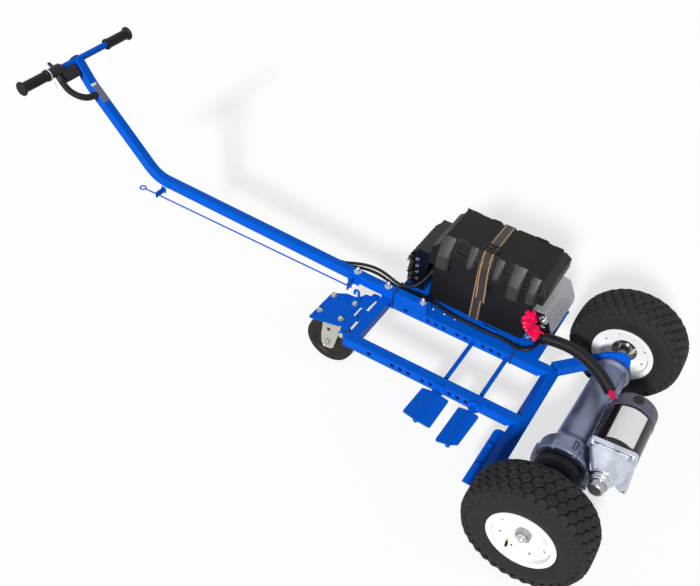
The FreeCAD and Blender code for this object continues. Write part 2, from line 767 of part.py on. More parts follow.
cap = turned("motor_cap_body", [
    (0, CAP_START), (motor_r + 1.5, CAP_START), (motor_r + 1.5, CAP_START + 8, 1), (motor_r, CAP_START + 10),
    (motor_r, MOTOR_FAR - 6, 8), (motor_r - 10, MOTOR_FAR, 3), (30, MOTOR_FAR), (28, MOTOR_FAR + 5, 3),
    (0, MOTOR_FAR + 5)])
vent_turn = FreeCAD.Rotation(Y_AXIS, 4)
vent = cylinder("motor_vent", "sizes.motor_vent_radius", "40")
vent_start = at(0, (CAP_START + MOTOR_FAR) / 2, motor_r - 22)
vent.Placement = FreeCAD.Placement(Vector(), vent_turn).multiply(vent_start)
screws = [cylinder("motor_screw%d" % i, "5", "4", at(x, MOTOR_FAR - 0.5, z, ALONG_Y))
          for i, (x, z) in enumerate(around(2, motor_r - 16, 60))]
post_turn = FreeCAD.Rotation(Y_AXIS, -52)
post = cylinder("motor_terminal", "6", "14")
post.Placement = FreeCAD.Placement(Vector(), post_turn).multiply(at(0, CAP_START + 36, motor_r - 2))
end_cap = cut("motor_cap_vented", fuse("motor_cap_fused", cap, post, *screws), vent)
end_cap.Placement = at(MOTOR.x, 0, MOTOR.z)
keep(end_cap, "motor_end_cap")


def pinion_casting():
    """The square-flanged casting in front of the motor, ribbed and drawn down to a ringed nose."""
    half, corner = size("motor_flange") / 2, size("flange_corner")
    neck, neck_y = size("nose_neck_radius"), -size("nose_neck_face")

    def square(body, name, reach, rounding, offset):
        sketch = new_sketch(body, "XZ_Plane", name, offset)
        for edge in corner_edges([(-reach, -reach, rounding), (reach, -reach, rounding),
                                  (reach, reach, rounding), (-reach, reach, rounding)]):
            sketch.addGeometry(edge)
        return sketch

    foot = size("foot_drop")
    toe = size("foot_radius")
    flange = padded("motor_flange", "XZ_Plane", [(-half, -half, corner), (half - 50, -half, 10),
                                                 (half - 2 * toe - 3, -half - foot, toe - 0.1),
                                                 (half - 2, -half - foot, toe - 0.1), (half, -half + 20, 6),
                                                 (half, half, corner), (-half, half, corner)],
                    "sizes.motor_flange_plate")
    flange.Placement = at(0, (MOTOR_NEAR + FLANGE_NEAR) / 2, 0)
    body = new_body("pinion_cone")
    wide = square(body, "cone_wide", half - 9, corner + 12, -FLANGE_NEAR)
    slim = square(body, "cone_slim", neck, neck - 0.5, -neck_y)
    loft = body.newObject("PartDesign::AdditiveLoft", "cone_loft")
    loft.Profile = wide
    loft.Sections = [slim]
    ribs = []
    for number in range(8):
        turn = FreeCAD.Rotation(Y_AXIS, 45.0 * number + 22.5)
        rib = padded("nose_rib%d" % number, "XY_Plane", [(10, FLANGE_NEAR + 1), (half - 4, FLANGE_NEAR + 1),
                                                         (neck + 5, neck_y, 4), (10, neck_y)],
                     "sizes.nose_rib")
        rib.Placement = FreeCAD.Placement(Vector(), turn)
        ribs.append(rib)
    nose_r, face = size("nose_radius"), -size("nose_face")
    rings = turned("nose_rings", [(0, neck_y + 4), (neck + 2, neck_y + 4), (neck + 2, neck_y - 3, 1),
                                  (nose_r, neck_y - 6), (nose_r, neck_y - 12), (nose_r + 3, neck_y - 13, 1),
                                  (nose_r + 3, neck_y - 18, 1), (nose_r, neck_y - 19), (nose_r, face, 2),
                                  (0, face)])
    foot_hole = cylinder("foot_hole", "4", "60",
                         at(half - 2 - toe, MOTOR_NEAR - 40, toe - half - foot, ALONG_Y))
    seats = [cylinder("flange_screw%d" % i, "7", "10",
                      at(sx * (half - 13), FLANGE_NEAR - 9, sz * (half - 13), ALONG_Y))
             for i, (sx, sz) in enumerate(((-1, -1), (-1, 1), (1, 1)))]
    solid = fuse("pinion_fused", flange, body, rings, *(ribs + seats))
    gear_room = cylinder("gear_room", "sizes.gear_radius + sizes.gear_lip_rise + 8.1",
                         "sizes.gear_near_face + 10",
                         at(AXLE.x - MOTOR.x, GEAR_NEAR - 10, AXLE.z - MOTOR.z, ALONG_Y))
    item = cut("pinion_cut", solid, fuse("pinion_tools", gear_room, foot_hole))
    item.Placement = at(MOTOR.x, 0, MOTOR.z)
    return keep(item, "pinion_housing")


pinion_casting()

nose_cap_r = size("nose_cap_radius")
nose = turned("nose_cap_body", [(0, -size("nose_face")), (nose_cap_r, -size("nose_face")),
                                (nose_cap_r - 1, -size("nose_cap_face") + 4, 3),
                                (nose_cap_r - 7, -size("nose_cap_face"), 3), (0, -size("nose_cap_face"))])
nose.Placement = at(MOTOR.x, 0, MOTOR.z)
keep(nose, "nose_cap")

# ------------------------------------------------------------------ arms and brackets
ARM_TURN = FreeCAD.Rotation(Z_AXIS, size("arm_angle"))
ARM_START = Vector(APEX_X, FAR_EDGE + 6, 0)
plate = size("bracket_plate")
FAR_BRACKET_Y = FLANGE_END + plate / 2 + size("weld_gap")
NEAR_BRACKET_Y = STUB_END + plate / 2 + 34
NEAR_ARM_Y = NEAR_BRACKET_Y - plate / 2 - TUBE / 2 - size("weld_gap")

far_arm = square_tube("far_arm", "sizes.far_arm_length")
far_arm.Placement = on_frame(ARM_START.x, ARM_START.y, 0, ARM_TURN)
rail_side = box("rail_side", on_frame(APEX_X - 200, FAR_EDGE + size("weld_gap") - 200, -100), Length="400",
                Width="200", Height="200")
keep(cut("far_arm_cut", far_arm, rail_side), "far_axle_arm")

near_arm = square_tube("near_arm", "sizes.near_arm_length")
near_arm.Placement = on_frame(APEX_X + leg + 1, NEAR_ARM_Y, -1)
keep(near_arm, "near_axle_arm")


def axle_bracket(label, y, bore_radius, top):
    """A plate square to the axle that clamps the housing's end, its rear edge welded to an arm."""
    r = size("bracket_radius")
    item = padded(label + "_plate", "XZ_Plane", [(-r - 22, -46, 8), (-r - 22, 20, 10), (-36, top - 24, 20),
                                                 (16, top, 20), (46, top - 10, 12), (50, 44, 6),
                                                 (r - 18, 0, 14), (46, -52, 16), (-20, -64, 16)],
                  "sizes.bracket_plate", holes=[(0, 0, bore_radius), (34, 62, "4.5"), (-30, 52, "4.5")])
    item.Placement = at(AXLE.x, y, AXLE.z)
    return item


arm_block = box("far_arm_block", None, Length="sizes.far_arm_length + 40", Width="sizes.tube + 0.1",
                Height="sizes.tube + 0.1")
arm_corner = at(-20, -TUBE / 2 - 0.05, -TUBE - 0.05)
arm_block.Placement = on_frame(ARM_START.x, ARM_START.y, 0, ARM_TURN).multiply(arm_corner)
far_plate = axle_bracket("far_axle_bracket", FAR_BRACKET_Y, "sizes.shaft_radius + 6", 95)
behind = box("far_bracket_trim", at(AXLE.x - 300, 0, 0), Length="300 - 79", Width="600", Height="600")
keep(cut("far_bracket_cut", far_plate, fuse("far_bracket_tools", arm_block, behind)), "far_axle_bracket")
keep(axle_bracket("near_axle_bracket", NEAR_BRACKET_Y, "sizes.stub_radius + 0.02", 80), "near_axle_bracket")

# ------------------------------------------------------------------ handle
def heading(angle):
    """Unit direction back along the handle, in the frame's own axes, at a rise above the rails."""
    turn = math.radians(angle)
    return Vector(-math.cos(turn), 0, math.sin(turn))


HANDLE_START = Vector(-size("handle_start"), FAR_RAIL_Y, TUBE / 2)
LOWER_RISE = size("handle_rise")
UPPER_RISE = LOWER_RISE + size("handle_bend")
NECK_RISE = UPPER_RISE + size("handle_neck")
HANDLE_KINK = HANDLE_START + heading(0) * size("handle_lap")
HANDLE_KNEE = HANDLE_KINK + heading(LOWER_RISE) * size("handle_lower")
HANDLE_HEAD = HANDLE_KNEE + heading(UPPER_RISE) * size("handle_upper")
HANDLE_TOP = HANDLE_HEAD + heading(NECK_RISE) * size("handle_neck_length")


def frame_point(point):
    """A point of the frame's own axes, in the tug's axes."""
    return FRAME_BASE + FRAME_TURN.multVec(point)


handle = new_body("handle")
spine = new_sketch(handle, "XZ_Plane", "handle_spine")
flat = [(p.x, p.z) for p in (HANDLE_START, HANDLE_KINK, HANDLE_KNEE, HANDLE_HEAD, HANDLE_TOP)]
flat[2] = flat[2] + (size("handle_bend_radius"),)
for edge in corner_edges(flat, closed=False):
    spine.addGeometry(edge)
section = new_sketch(handle, "YZ_Plane", "handle_section", HANDLE_START.x)
half_tube = TUBE / 2
half_bore = half_tube - size("tube_wall")
for half, corner in ((half_tube, 4), (half_bore, 1.5)):
    middle = HANDLE_START.z
    for edge in corner_edges([(-half, middle - half, corner), (half, middle - half, corner),
                              (half, middle + half, corner), (-half, middle + half, corner)]):
        section.addGeometry(edge)
sweep = handle.newObject("PartDesign::AdditivePipe", "handle_sweep")
sweep.Profile = section
sweep.Spine = spine
sweep.Transition = "Right corner"
cope = cylinder("handle_cope", "sizes.tbar_radius", "4 * sizes.tube",
                at(HANDLE_TOP.x, -2 * TUBE, HANDLE_TOP.z, ALONG_Y))
coped_handle = cut("handle_coped", handle, cope)
coped_handle.Placement = on_frame(0, FAR_RAIL_Y, 0)

TBAR = frame_point(HANDLE_TOP)
TBAR_HALF = size("tbar_length") / 2
inner_radius = size("tbar_radius") - size("tbar_wall")
tbar = turned("tbar_body", [(inner_radius, -TBAR_HALF), (size("tbar_radius"), -TBAR_HALF),
                            (size("tbar_radius"), TBAR_HALF), (inner_radius, TBAR_HALF)])
tbar.Placement = at(TBAR.x, FAR_RAIL_Y, TBAR.z)
keep(tbar, "handle_crossbar")


def grip(label, side):
    """A rubber grip with a collar, and a flange that closes it over the bar's end."""
    bar, r, out, collar = size("tbar_radius"), size("grip_radius"), size("grip_flange"), size("grip_collar")
    end = side * (TBAR_HALF + 3)
    inner = side * (TBAR_HALF + 3 - size("grip_length"))
    points = [(bar, inner), (collar, inner, 2), (collar, inner + side * 8, 2), (r, inner + side * 10),
              (r, end - side * 14, 8), (out, end - side * 7, 3), (out, end, 4), (0, end),
              (0, side * TBAR_HALF), (bar, side * TBAR_HALF)]
    item = turned(label, points)
    item.Placement = at(TBAR.x, FAR_RAIL_Y, TBAR.z)
    return keep(item, label)


grip("near_grip", -1)
grip("far_grip", 1)

clamp_start = 3 - TBAR_HALF - 3 + size("grip_length") + 1
clamp_end = clamp_start + size("clamp_length")
clamp = turned("clamp_body", [(size("tbar_radius"), clamp_start), (size("clamp_radius"), clamp_start, 3),
                              (size("clamp_radius"), clamp_end, 3), (size("tbar_radius"), clamp_end)])
clamp.Placement = at(TBAR.x, FAR_RAIL_Y, TBAR.z)
keep(clamp, "throttle_clamp")

throttle_end = clamp_end + size("throttle_length")
throttle = turned("throttle_body", [
    (size("tbar_radius"), clamp_end), (size("throttle_radius") - 3, clamp_end, 3),
    (size("throttle_radius"), clamp_end + 10, 6), (size("throttle_radius"), throttle_end - 8, 6),
    (size("throttle_radius") - 5, throttle_end, 3), (size("tbar_radius"), throttle_end)])
lever = padded("throttle_lever", "XZ_Plane", [(-6, 4), (6, 4), (5, 46, 4.9), (-5, 46, 4.9)], "9")
lever.Placement = at(0, clamp_end + size("throttle_length") / 2, 0, FreeCAD.Rotation(Y_AXIS, -62))
bar_room = cylinder("throttle_bore", "sizes.tbar_radius", "200", at(0, clamp_end - 50, 0, ALONG_Y))
LOOM_EXIT = Vector(0.6, 0, -0.8)
loom_boss = cylinder("throttle_boss", "sizes.loom_radius - 1.5", "sizes.loom_boss",
                     FreeCAD.Placement(Vector(0, size("loom_exit_y") - FAR_RAIL_Y, 0),
                                       FreeCAD.Rotation(Z_AXIS, LOOM_EXIT)))
throttle_housing = cut("throttle_cut", fuse("throttle_fused", throttle, lever, loom_boss), bar_room)
throttle_housing.Placement = at(TBAR.x, FAR_RAIL_Y, TBAR.z)
keep(throttle_housing, "throttle_housing")


def on_handle(start, rise, along, side=0.0, lift=0.0):
    """A placement on the handle: x runs back along it from a spine point, z square to its top."""
    spot = start + heading(rise) * along
    turn = FreeCAD.Rotation(Y_AXIS, rise).multiply(FreeCAD.Rotation(Z_AXIS, 180))
    return on_frame(0, 0, 0).multiply(FreeCAD.Placement(spot, turn)).multiply(at(0, side, lift))


bolts = []
for number, seat in enumerate(("handle_bolt_rear", "handle_bolt_middle", "handle_bolt_front")):
    beyond_kink = size(seat) - size("handle_lap")
    start, rise = (HANDLE_START, 0.0) if beyond_kink < 0 else (HANDLE_KINK, LOWER_RISE)
    spot = on_handle(start, rise, size(seat) if beyond_kink < 0 else beyond_kink, 0, TUBE / 2)
    bolts.append(bolt("handle_bolt%d" % number, spot, "sizes.frame_bolt", TUBE - 0.1))
handle_drills = [cylinder("handle_drill%d" % i, "sizes.frame_bolt", "sizes.tube * 1.2",
                          item.Placement.multiply(at(0, 0, -1.1 * TUBE))) for i, item in enumerate(bolts)]
keep(cut("handle_drilled", coped_handle, fuse("handle_drills", *handle_drills)), "handle_tube")
keep(group("handle_bolt_set", *bolts), "handle_bolts")

# The pull rod runs beside the handle, from a ring on its guide to the latch by the folding plate.
ROD_FRONT = Vector(-size("handle_start") - size("handle_bolt_rear") + 14, size("rod_side"), size("rod_drop"))
ROD_TURN = FreeCAD.Rotation(Y_AXIS, size("rod_rise")).multiply(FreeCAD.Rotation(Z_AXIS, 180))
ROD_PLACE = on_frame(0, 0, 0).multiply(FreeCAD.Placement(ROD_FRONT, ROD_TURN))
rod = cylinder("pull_rod_stem", "sizes.rod_radius", "sizes.rod_length", at(0, 0, 0, ALONG_X))
ring = doc.addObject("Part::Torus", "pull_rod_ring")
bind(ring, Radius1="sizes.rod_ring", Radius2="sizes.rod_radius")
ring.Placement = at(size("rod_length") + size("rod_ring") - 1, 0, 0)
pull_rod = fuse("pull_rod_fused", rod, ring)
pull_rod.Placement = ROD_PLACE
keep(pull_rod, "pull_rod")


def rod_bracket(label, along, width, depth):
    """A bent plate from the handle's near side with a hole that guides the pull rod."""
    thick = size("latch_plate")
    face_y = FAR_RAIL_Y - TUBE / 2
    spot = ROD_FRONT + ROD_TURN.multVec(Vector(along, 0, 0))
    reach = face_y - size("weld_gap") - size("rod_side")
    arm = box(label + "_arm", at(-thick / 2, -size("rod_radius") - 4.5, -depth / 2), Length=str(thick),
              Width="%s + 4.5 + sizes.rod_radius" % reach, Height=str(depth))
    foot = box(label + "_foot", at(-width / 2, reach - thick, -depth / 2), Length=str(width),
               Width=str(thick), Height=str(depth))
    hole = cylinder(label + "_hole", "sizes.rod_radius + 0.3", "40", at(-20, 0, 0, ALONG_X))
    item = cut(label + "_cut", fuse(label + "_fused", arm, foot), hole)
    item.Placement = on_frame(spot.x, spot.y, spot.z, FreeCAD.Rotation(Y_AXIS, size("rod_rise")))
    return item


guides = [rod_bracket("latch_bracket", 16, 50, 36),
          rod_bracket("rod_guide", size("rod_length") - 64, 22, 26)]
keep(group("rod_guide_set", *guides), "rod_guides")

# ------------------------------------------------------------------ caster hinge
HINGE = frame_point(Vector(-size("rail_rear") - size("hinge_back"), 0, -size("hinge_drop")))
CASTER_Y = size("frame_middle") - size("caster_side")
LUG_NEAR_Y = NEAR_RAIL_Y + TUBE / 2 - 6 - size("hinge_lug") / 2
LUG_FAR_Y = FAR_RAIL_Y - TUBE / 2 - size("hinge_lug") / 2 - size("weld_gap")
PIN_BORE = "sizes.hinge_pin_radius + sizes.running_gap"


def hinge_lug(name, y, r, reach, width):
    """A lug welded to the frame's rear end, bored for the hinge pin."""
    item = padded(name, "XZ_Plane", [(reach, -r), (reach, r), (-r, r, r - 0.1), (-r, -r, r - 0.1)], width,
                  holes=[(0, 0, "sizes.hinge_pin_radius")])
    item.Placement = at(HINGE.x, y, HINGE.z)
    return item


RAIL_END_GAP = size("hinge_back") * math.cos(math.radians(size("frame_slope"))) - 2.2
lug_r, barrel_r = size("hinge_lug_radius"), size("hinge_barrel")
lugs = [hinge_lug("near_hinge_lug", LUG_NEAR_Y, lug_r, RAIL_END_GAP, "sizes.hinge_lug"),
        hinge_lug("far_hinge_lug", LUG_FAR_Y, lug_r, RAIL_END_GAP, "sizes.hinge_lug"),
        hinge_lug("middle_hinge_lug", size("frame_middle") - size("hinge_middle_side"), barrel_r,
                  RAIL_END_GAP + 4.6, "sizes.hinge_middle")]
keep(group("hinge_lug_set", *lugs), "hinge_lugs")

pin_r = size("hinge_pin_radius")
pin_start = LUG_NEAR_Y - size("hinge_lug") / 2
pin_length = LUG_FAR_Y - pin_start + size("hinge_lug") / 2
pin = turned("hinge_pin_body", [(0, -6), (pin_r + 4, -6, 2), (pin_r + 4, 0), (pin_r, 0), (pin_r, pin_length),
                                (0, pin_length)])
pin.Placement = at(HINGE.x, pin_start, HINGE.z)
keep(pin, "hinge_pin")

# ------------------------------------------------------------------ folding plate and caster
CASTER = Vector(HINGE.x - size("caster_back"), CASTER_Y, HINGE.z + size("plate_rise"))
bolt_x, bolt_y = size("caster_bolt_length") / 2, size("caster_bolt_width") / 2
back, front, rear = size("caster_back"), size("plate_front"), -size("plate_back")
near_edge, far_edge = -size("plate_near") - CASTER_Y, size("plate_far") - CASTER_Y
ear_edge = LUG_NEAR_Y + size("hinge_lug") / 2 + size("knuckle_gap") - CASTER_Y
front_edge = ear_edge + 18
rod_edge = size("plate_clear_of_rod") - CASTER_Y
notch, notch_x = size("hinge_middle") / 2 + size("knuckle_gap"), -size("hinge_barrel") - 2
notch_y = size("frame_middle") - size("hinge_middle_side") - CASTER_Y
outline = [(rear, near_edge, 4), (-26, near_edge + 15), (-26, front_edge), (front, front_edge),
           (front, notch_y - notch), (notch_x, notch_y - notch), (notch_x, notch_y + notch),
           (front, notch_y + notch), (front, far_edge - 2), (2, far_edge - 2, 6), (-10, far_edge - 12, 8),
           (-30, far_edge - 12, 8), (-36, far_edge - 30, 8), (-52, rod_edge, 10), (-92, rod_edge, 4),
           (rear + 2, 58, 4)]
holes = [(sx * bolt_x - back, sy * bolt_y, "sizes.caster_bolt_radius") for sx in (-1, 1) for sy in (-1, 1)]
fold_plate = padded("fold_plate", "XY_Plane", outline, "sizes.plate_thickness", middle=False, holes=holes)
fold_plate.Placement = at(0, 0, size("plate_rise"))


def knuckle(name, start, length):
    """A barrel round the hinge pin, welded under the folding plate."""
    barrel = cylinder(name + "_barrel", "sizes.hinge_barrel", str(length), at(0, start, 0, ALONG_Y))
    web = box(name + "_web", at(-size("hinge_barrel"), start, 0), Length="2 * sizes.hinge_barrel",
              Width=str(length), Height="sizes.plate_rise + 1")
    return [barrel, web]


near_knuckle = knuckle("near_knuckle", ear_edge, size("knuckle"))
far_knuckle = knuckle("far_knuckle", far_edge - 2 - size("knuckle"), size("knuckle"))
bore = cylinder("knuckle_bore", PIN_BORE, "400", at(0, -200, 0, ALONG_Y))
stud_path = new_body("staple")
stud_spine = new_sketch(stud_path, "XZ_Plane", "staple_spine")
rise = size("staple_height")
for item in corner_edges([(0, 0), (1, rise, 8), (-16, rise + 1, 7), (-17, rise - 18)], closed=False):
    stud_spine.addGeometry(item)
stud_ring = new_sketch(stud_path, "XY_Plane", "staple_ring")
circle(stud_ring, 0, 0, "sizes.staple_radius", "rod")
staple = stud_path.newObject("PartDesign::AdditivePipe", "staple_pipe")
staple.Profile = stud_ring
staple.Spine = stud_spine
stud_path.Placement = at(-size("staple_back"), rod_edge - 12.5,
                         size("plate_rise") + size("plate_thickness") - 1)
solids = [fold_plate, stud_path] + near_knuckle + far_knuckle
folding_plate = cut("folding_plate_cut", fuse("folding_plate_fused", *solids), bore)
folding_plate.Placement = at(HINGE.x, CASTER_Y, HINGE.z)
keep(folding_plate, "folding_plate")

edge = size("caster_bolt_edge")
flat_x, flat_y = bolt_x + edge, bolt_y + edge
mount = padded("caster_mount", "XY_Plane", [(-flat_x, -flat_y, 8), (flat_x, -flat_y, 8),
                                            (flat_x, flat_y, 8), (-flat_x, flat_y, 8)],
               "sizes.caster_plate", middle=False,
               holes=[(sx * bolt_x, sy * bolt_y, "sizes.caster_bolt_radius")
                      for sx in (-1, 1) for sy in (-1, 1)])
mount.Placement = at(0, 0, -size("caster_plate"))
race_bottom = -size("caster_plate") - size("race_depth")
race = turned("caster_race", [(0, -size("caster_plate") + 1),
                              (size("race_radius"), -size("caster_plate") + 1),
                              (size("race_radius"), race_bottom + 3, 3),
                              (size("race_radius") - 6, race_bottom), (0, race_bottom)])
race.Placement = at(0, 0, 0, FreeCAD.Rotation(X_AXIS, 90))
king_bore = cylinder("king_bore", "sizes.kingpin_radius + sizes.running_gap", "sizes.race_depth + 1",
                     at(0, 0, race_bottom - 1))
caster_mount = cut("caster_mount_cut", fuse("caster_mount_fused", mount, race), king_bore)
caster_mount.Placement = at(CASTER.x, CASTER.y, CASTER.z)
keep(caster_mount, "caster_top_plate")

caster_bolts = [bolt("caster_bolt%d%d" % (sx, sy), at(CASTER.x + sx * bolt_x, CASTER.y + sy * bolt_y,
                                                   CASTER.z + size("plate_thickness")),
                     "sizes.caster_bolt_radius", size("plate_thickness") + size("caster_plate") + 8)
                for sx in (-1, 1) for sy in (-1, 1)]
keep(group("caster_bolt_set", *caster_bolts), "caster_bolts")

fork_top = race_bottom - size("swivel_gap")
fork_half = size("caster_width") / 2 + size("fork_side_gap") + size("fork_plate")
trail = size("caster_trail")
axle_drop = size("caster_axle_height") - CASTER.z
eye = size("fork_eye_radius")


def fork_leg(name, side):
    """One leg of the fork, from the crown down and back to the wheel's axle."""
    leg = padded(name, "XZ_Plane", [(-36, fork_top), (34, fork_top), (34, fork_top - 42, 20),
                                    (-trail + eye, axle_drop - eye, eye - 0.1),
                                    (-trail - eye, axle_drop - eye, eye - 0.1),
                                    (-trail - eye + 2, axle_drop + 40, 30)], "sizes.fork_plate",
                 holes=[(-trail, axle_drop, "sizes.caster_axle_radius")])
    leg.Placement = at(0, side * (fork_half - size("fork_plate") / 2), 0)
    return leg


crown = box("fork_crown", at(-36, -fork_half, fork_top - size("fork_plate")), Length="70",
            Width="sizes.caster_width + 2 * sizes.fork_side_gap + 2 * sizes.fork_plate",
            Height="sizes.fork_plate")
kingpin = cylinder("kingpin", "sizes.kingpin_radius", "sizes.race_depth - 1", at(0, 0, fork_top - 0.5))
fork = fuse("fork_fused", crown, kingpin, fork_leg("fork_near", -1), fork_leg("fork_far", 1))
fork.Placement = at(CASTER.x, CASTER.y, CASTER.z)
keep(fork, "caster_fork")

WHEEL = Vector(CASTER.x - trail, CASTER.y, size("caster_axle_height"))
caster_axle = turned("caster_axle_body", [(0, -fork_half - 10), (9, -fork_half - 10), (9, -fork_half),
                                          (size("caster_axle_radius"), -fork_half),
                                          (size("caster_axle_radius"), fork_half), (9, fork_half),
                                          (9, fork_half + 8), (0, fork_half + 8)])
caster_axle.Placement = at(WHEEL.x, WHEEL.y, WHEEL.z)
keep(caster_axle, "caster_axle")

r, half = size("caster_radius"), size("caster_width") / 2
axle_bore = size("caster_axle_radius") + size("running_gap")
caster_wheel = turned("caster_wheel_body", [(axle_bore, -half - 4), (18, -half - 4), (18, -half + 6),
                                            (r - 38, -half + 8, 6), (r - 30, -half, 4), (r - 5, -half, 8),
                                            (r, 0, 40), (r - 5, half, 8), (r - 30, half, 4),
                                            (r - 38, half - 8, 6), (18, half - 6), (18, half + 4),
                                            (axle_bore, half + 4)])
caster_wheel.Placement = at(WHEEL.x, WHEEL.y, WHEEL.z)
keep(caster_wheel, "caster_wheel")

# ------------------------------------------------------------------ lifting fingers
PIN_LINE = -TUBE / 2
NEAR_FACE = NEAR_RAIL_Y - TUBE / 2


def finger(label, place, outline):
    """A rod that slides through both rails, with a ridged blade outside the near rail."""
    gap, disc = size("finger_disc_gap"), size("finger_disc")
    rod = cylinder(label + "_rod", "sizes.finger_radius", "sizes.rail_gap + 2 * sizes.tube + 8",
                   at(0, NEAR_FACE - 8, 0, ALONG_Y))
    hub = turned(label + "_disc", [(0, NEAR_FACE - gap - disc),
                                   (size("finger_disc_radius"), NEAR_FACE - gap - disc, 1),
                                   (size("finger_disc_radius"), NEAR_FACE - gap, 1), (0, NEAR_FACE - gap)])
    fall = math.radians(size("finger_fall"))
    blade = padded(label + "_blade", "XY_Plane", outline, "60")
    width = max(abs(p[0]) for p in outline) + 5
    thick = size("finger_plate")
    rise = width * math.tan(fall)
    roof = padded(label + "_roof", "XZ_Plane", [(-width, -rise), (0, 0), (width, -rise),
                                                (width, -rise - thick), (0, -thick),
                                                (-width, -rise - thick)], "900")
    roof.Placement = at(0, 0, thick / 2)
    tip = min(p[1] for p in outline) - size("finger_tip")
    spine_rod = cylinder(label + "_spine", "sizes.finger_radius", str(NEAR_FACE - gap - disc + 1 - tip),
                         at(0, tip, 0, ALONG_Y))
    item = fuse(label + "_fused", rod, hub, common(label + "_paddle", roof, blade), spine_rod)
    item.Placement = on_frame(place, 0, PIN_LINE)
    return keep(item, label)


blade_start = NEAR_FACE - size("finger_disc_gap") - size("finger_disc") - size("finger_gap")
half = size("rear_finger_width") / 2
out = blade_start - size("rear_finger_reach") + size("finger_gap")
finger("rear_finger", FINGER_PLACES[0], [(-half, blade_start, 6), (half, blade_start, 6), (half, out + 6, 8),
                                         (0, out, 20), (-half - 6, out + size("rear_finger_rake"), 8)])
half = size("front_finger_width") / 2
out = blade_start - size("front_finger_reach") + size("finger_gap") - 10
finger("front_finger", FINGER_PLACES[1], [(-half - 6, blade_start - 6, 6), (half - 6, blade_start - 6, 6),
                                          (half - 12, out + 22, 8), (0, out, 20), (-half - 8, out - 2, 8)])

# ------------------------------------------------------------------ battery side
plate = size("tray_plate")
TRAY_Y = FAR_EDGE
BOX_Y = FAR_EDGE + size("box_gap")
tray_length = "sizes.tray_rear + sizes.tray_front"
tray_top = box("tray_top", at(0, 0.02, -plate), Length=tray_length, Width="sizes.tray_width",
               Height="sizes.tray_plate")
skirt = box("tray_skirt", at(0, 0.02, -size("tray_skirt")), Length=tray_length, Width="sizes.tray_plate",
            Height="sizes.tray_skirt")
outer_skirt = box("tray_lip", at(0, size("tray_width") - plate, -size("tray_skirt") / 2), Length=tray_length,
                  Width="sizes.tray_plate", Height="sizes.tray_skirt / 2")
stop = box("tray_stop", at(size("tray_rear") + 23, size("box_gap") / 2, -1), Length="64",
           Width="sizes.tray_plate", Height="13")
tie_slots = [box(tag + "_slot", at(size("tray_rear") + size(tag) - 4, size("tray_plate"),
                                   -size("tray_plate") - 1), Length="8", Width="9",
                 Height="sizes.tray_plate + 2") for tag in ("rear_tie_x", "rail_tie_x")]
tray = cut("tray_slotted", fuse("tray_fused", tray_top, skirt, outer_skirt, stop),
           fuse("tray_slots", *tie_slots))
tray.Placement = on_frame(-size("tray_rear"), TRAY_Y, 0)
keep(tray, "battery_tray")

BOX_MIDDLE = Vector(size("box_length") / 2 - size("box_rear"), BOX_Y + size("box_width") / 2, 0)


def battery_tub():
    """The moulded battery box, a little wider at its open top: a loft with the inside cut away."""
    length, width, height = size("box_length"), size("box_width"), size("box_height")
    taper, wall, corner = size("box_taper"), size("box_wall"), 16

    def ring(body, tag, inset, spread, level):
        sketch = new_sketch(body, "XY_Plane", "tub" + tag, level)
        x, y = length / 2 + spread - inset, width / 2 + spread - inset
        for item in corner_edges([(-x, -y, corner - inset / 2), (x, -y, corner - inset / 2),
                                  (x, y, corner - inset / 2), (-x, y, corner - inset / 2)]):
            sketch.addGeometry(item)
        return sketch

    body = new_body("battery_tub")
    low, high = ring(body, "_low", 0, 0, 0), ring(body, "_high", 0, taper, height)
    solid = body.newObject("PartDesign::AdditiveLoft", "tub_loft")
    solid.Profile = low
    solid.Sections = [high]
    low, high = ring(body, "_floor", wall, 0, wall), ring(body, "_mouth", wall, taper, height)
    hollow = body.newObject("PartDesign::SubtractiveLoft", "tub_hollow")
    hollow.Profile = low
    hollow.Sections = [high]
    body.Placement = on_frame(BOX_MIDDLE.x, BOX_MIDDLE.y, 0.02)
    return keep(body, "battery_box")


battery_box = battery_tub()


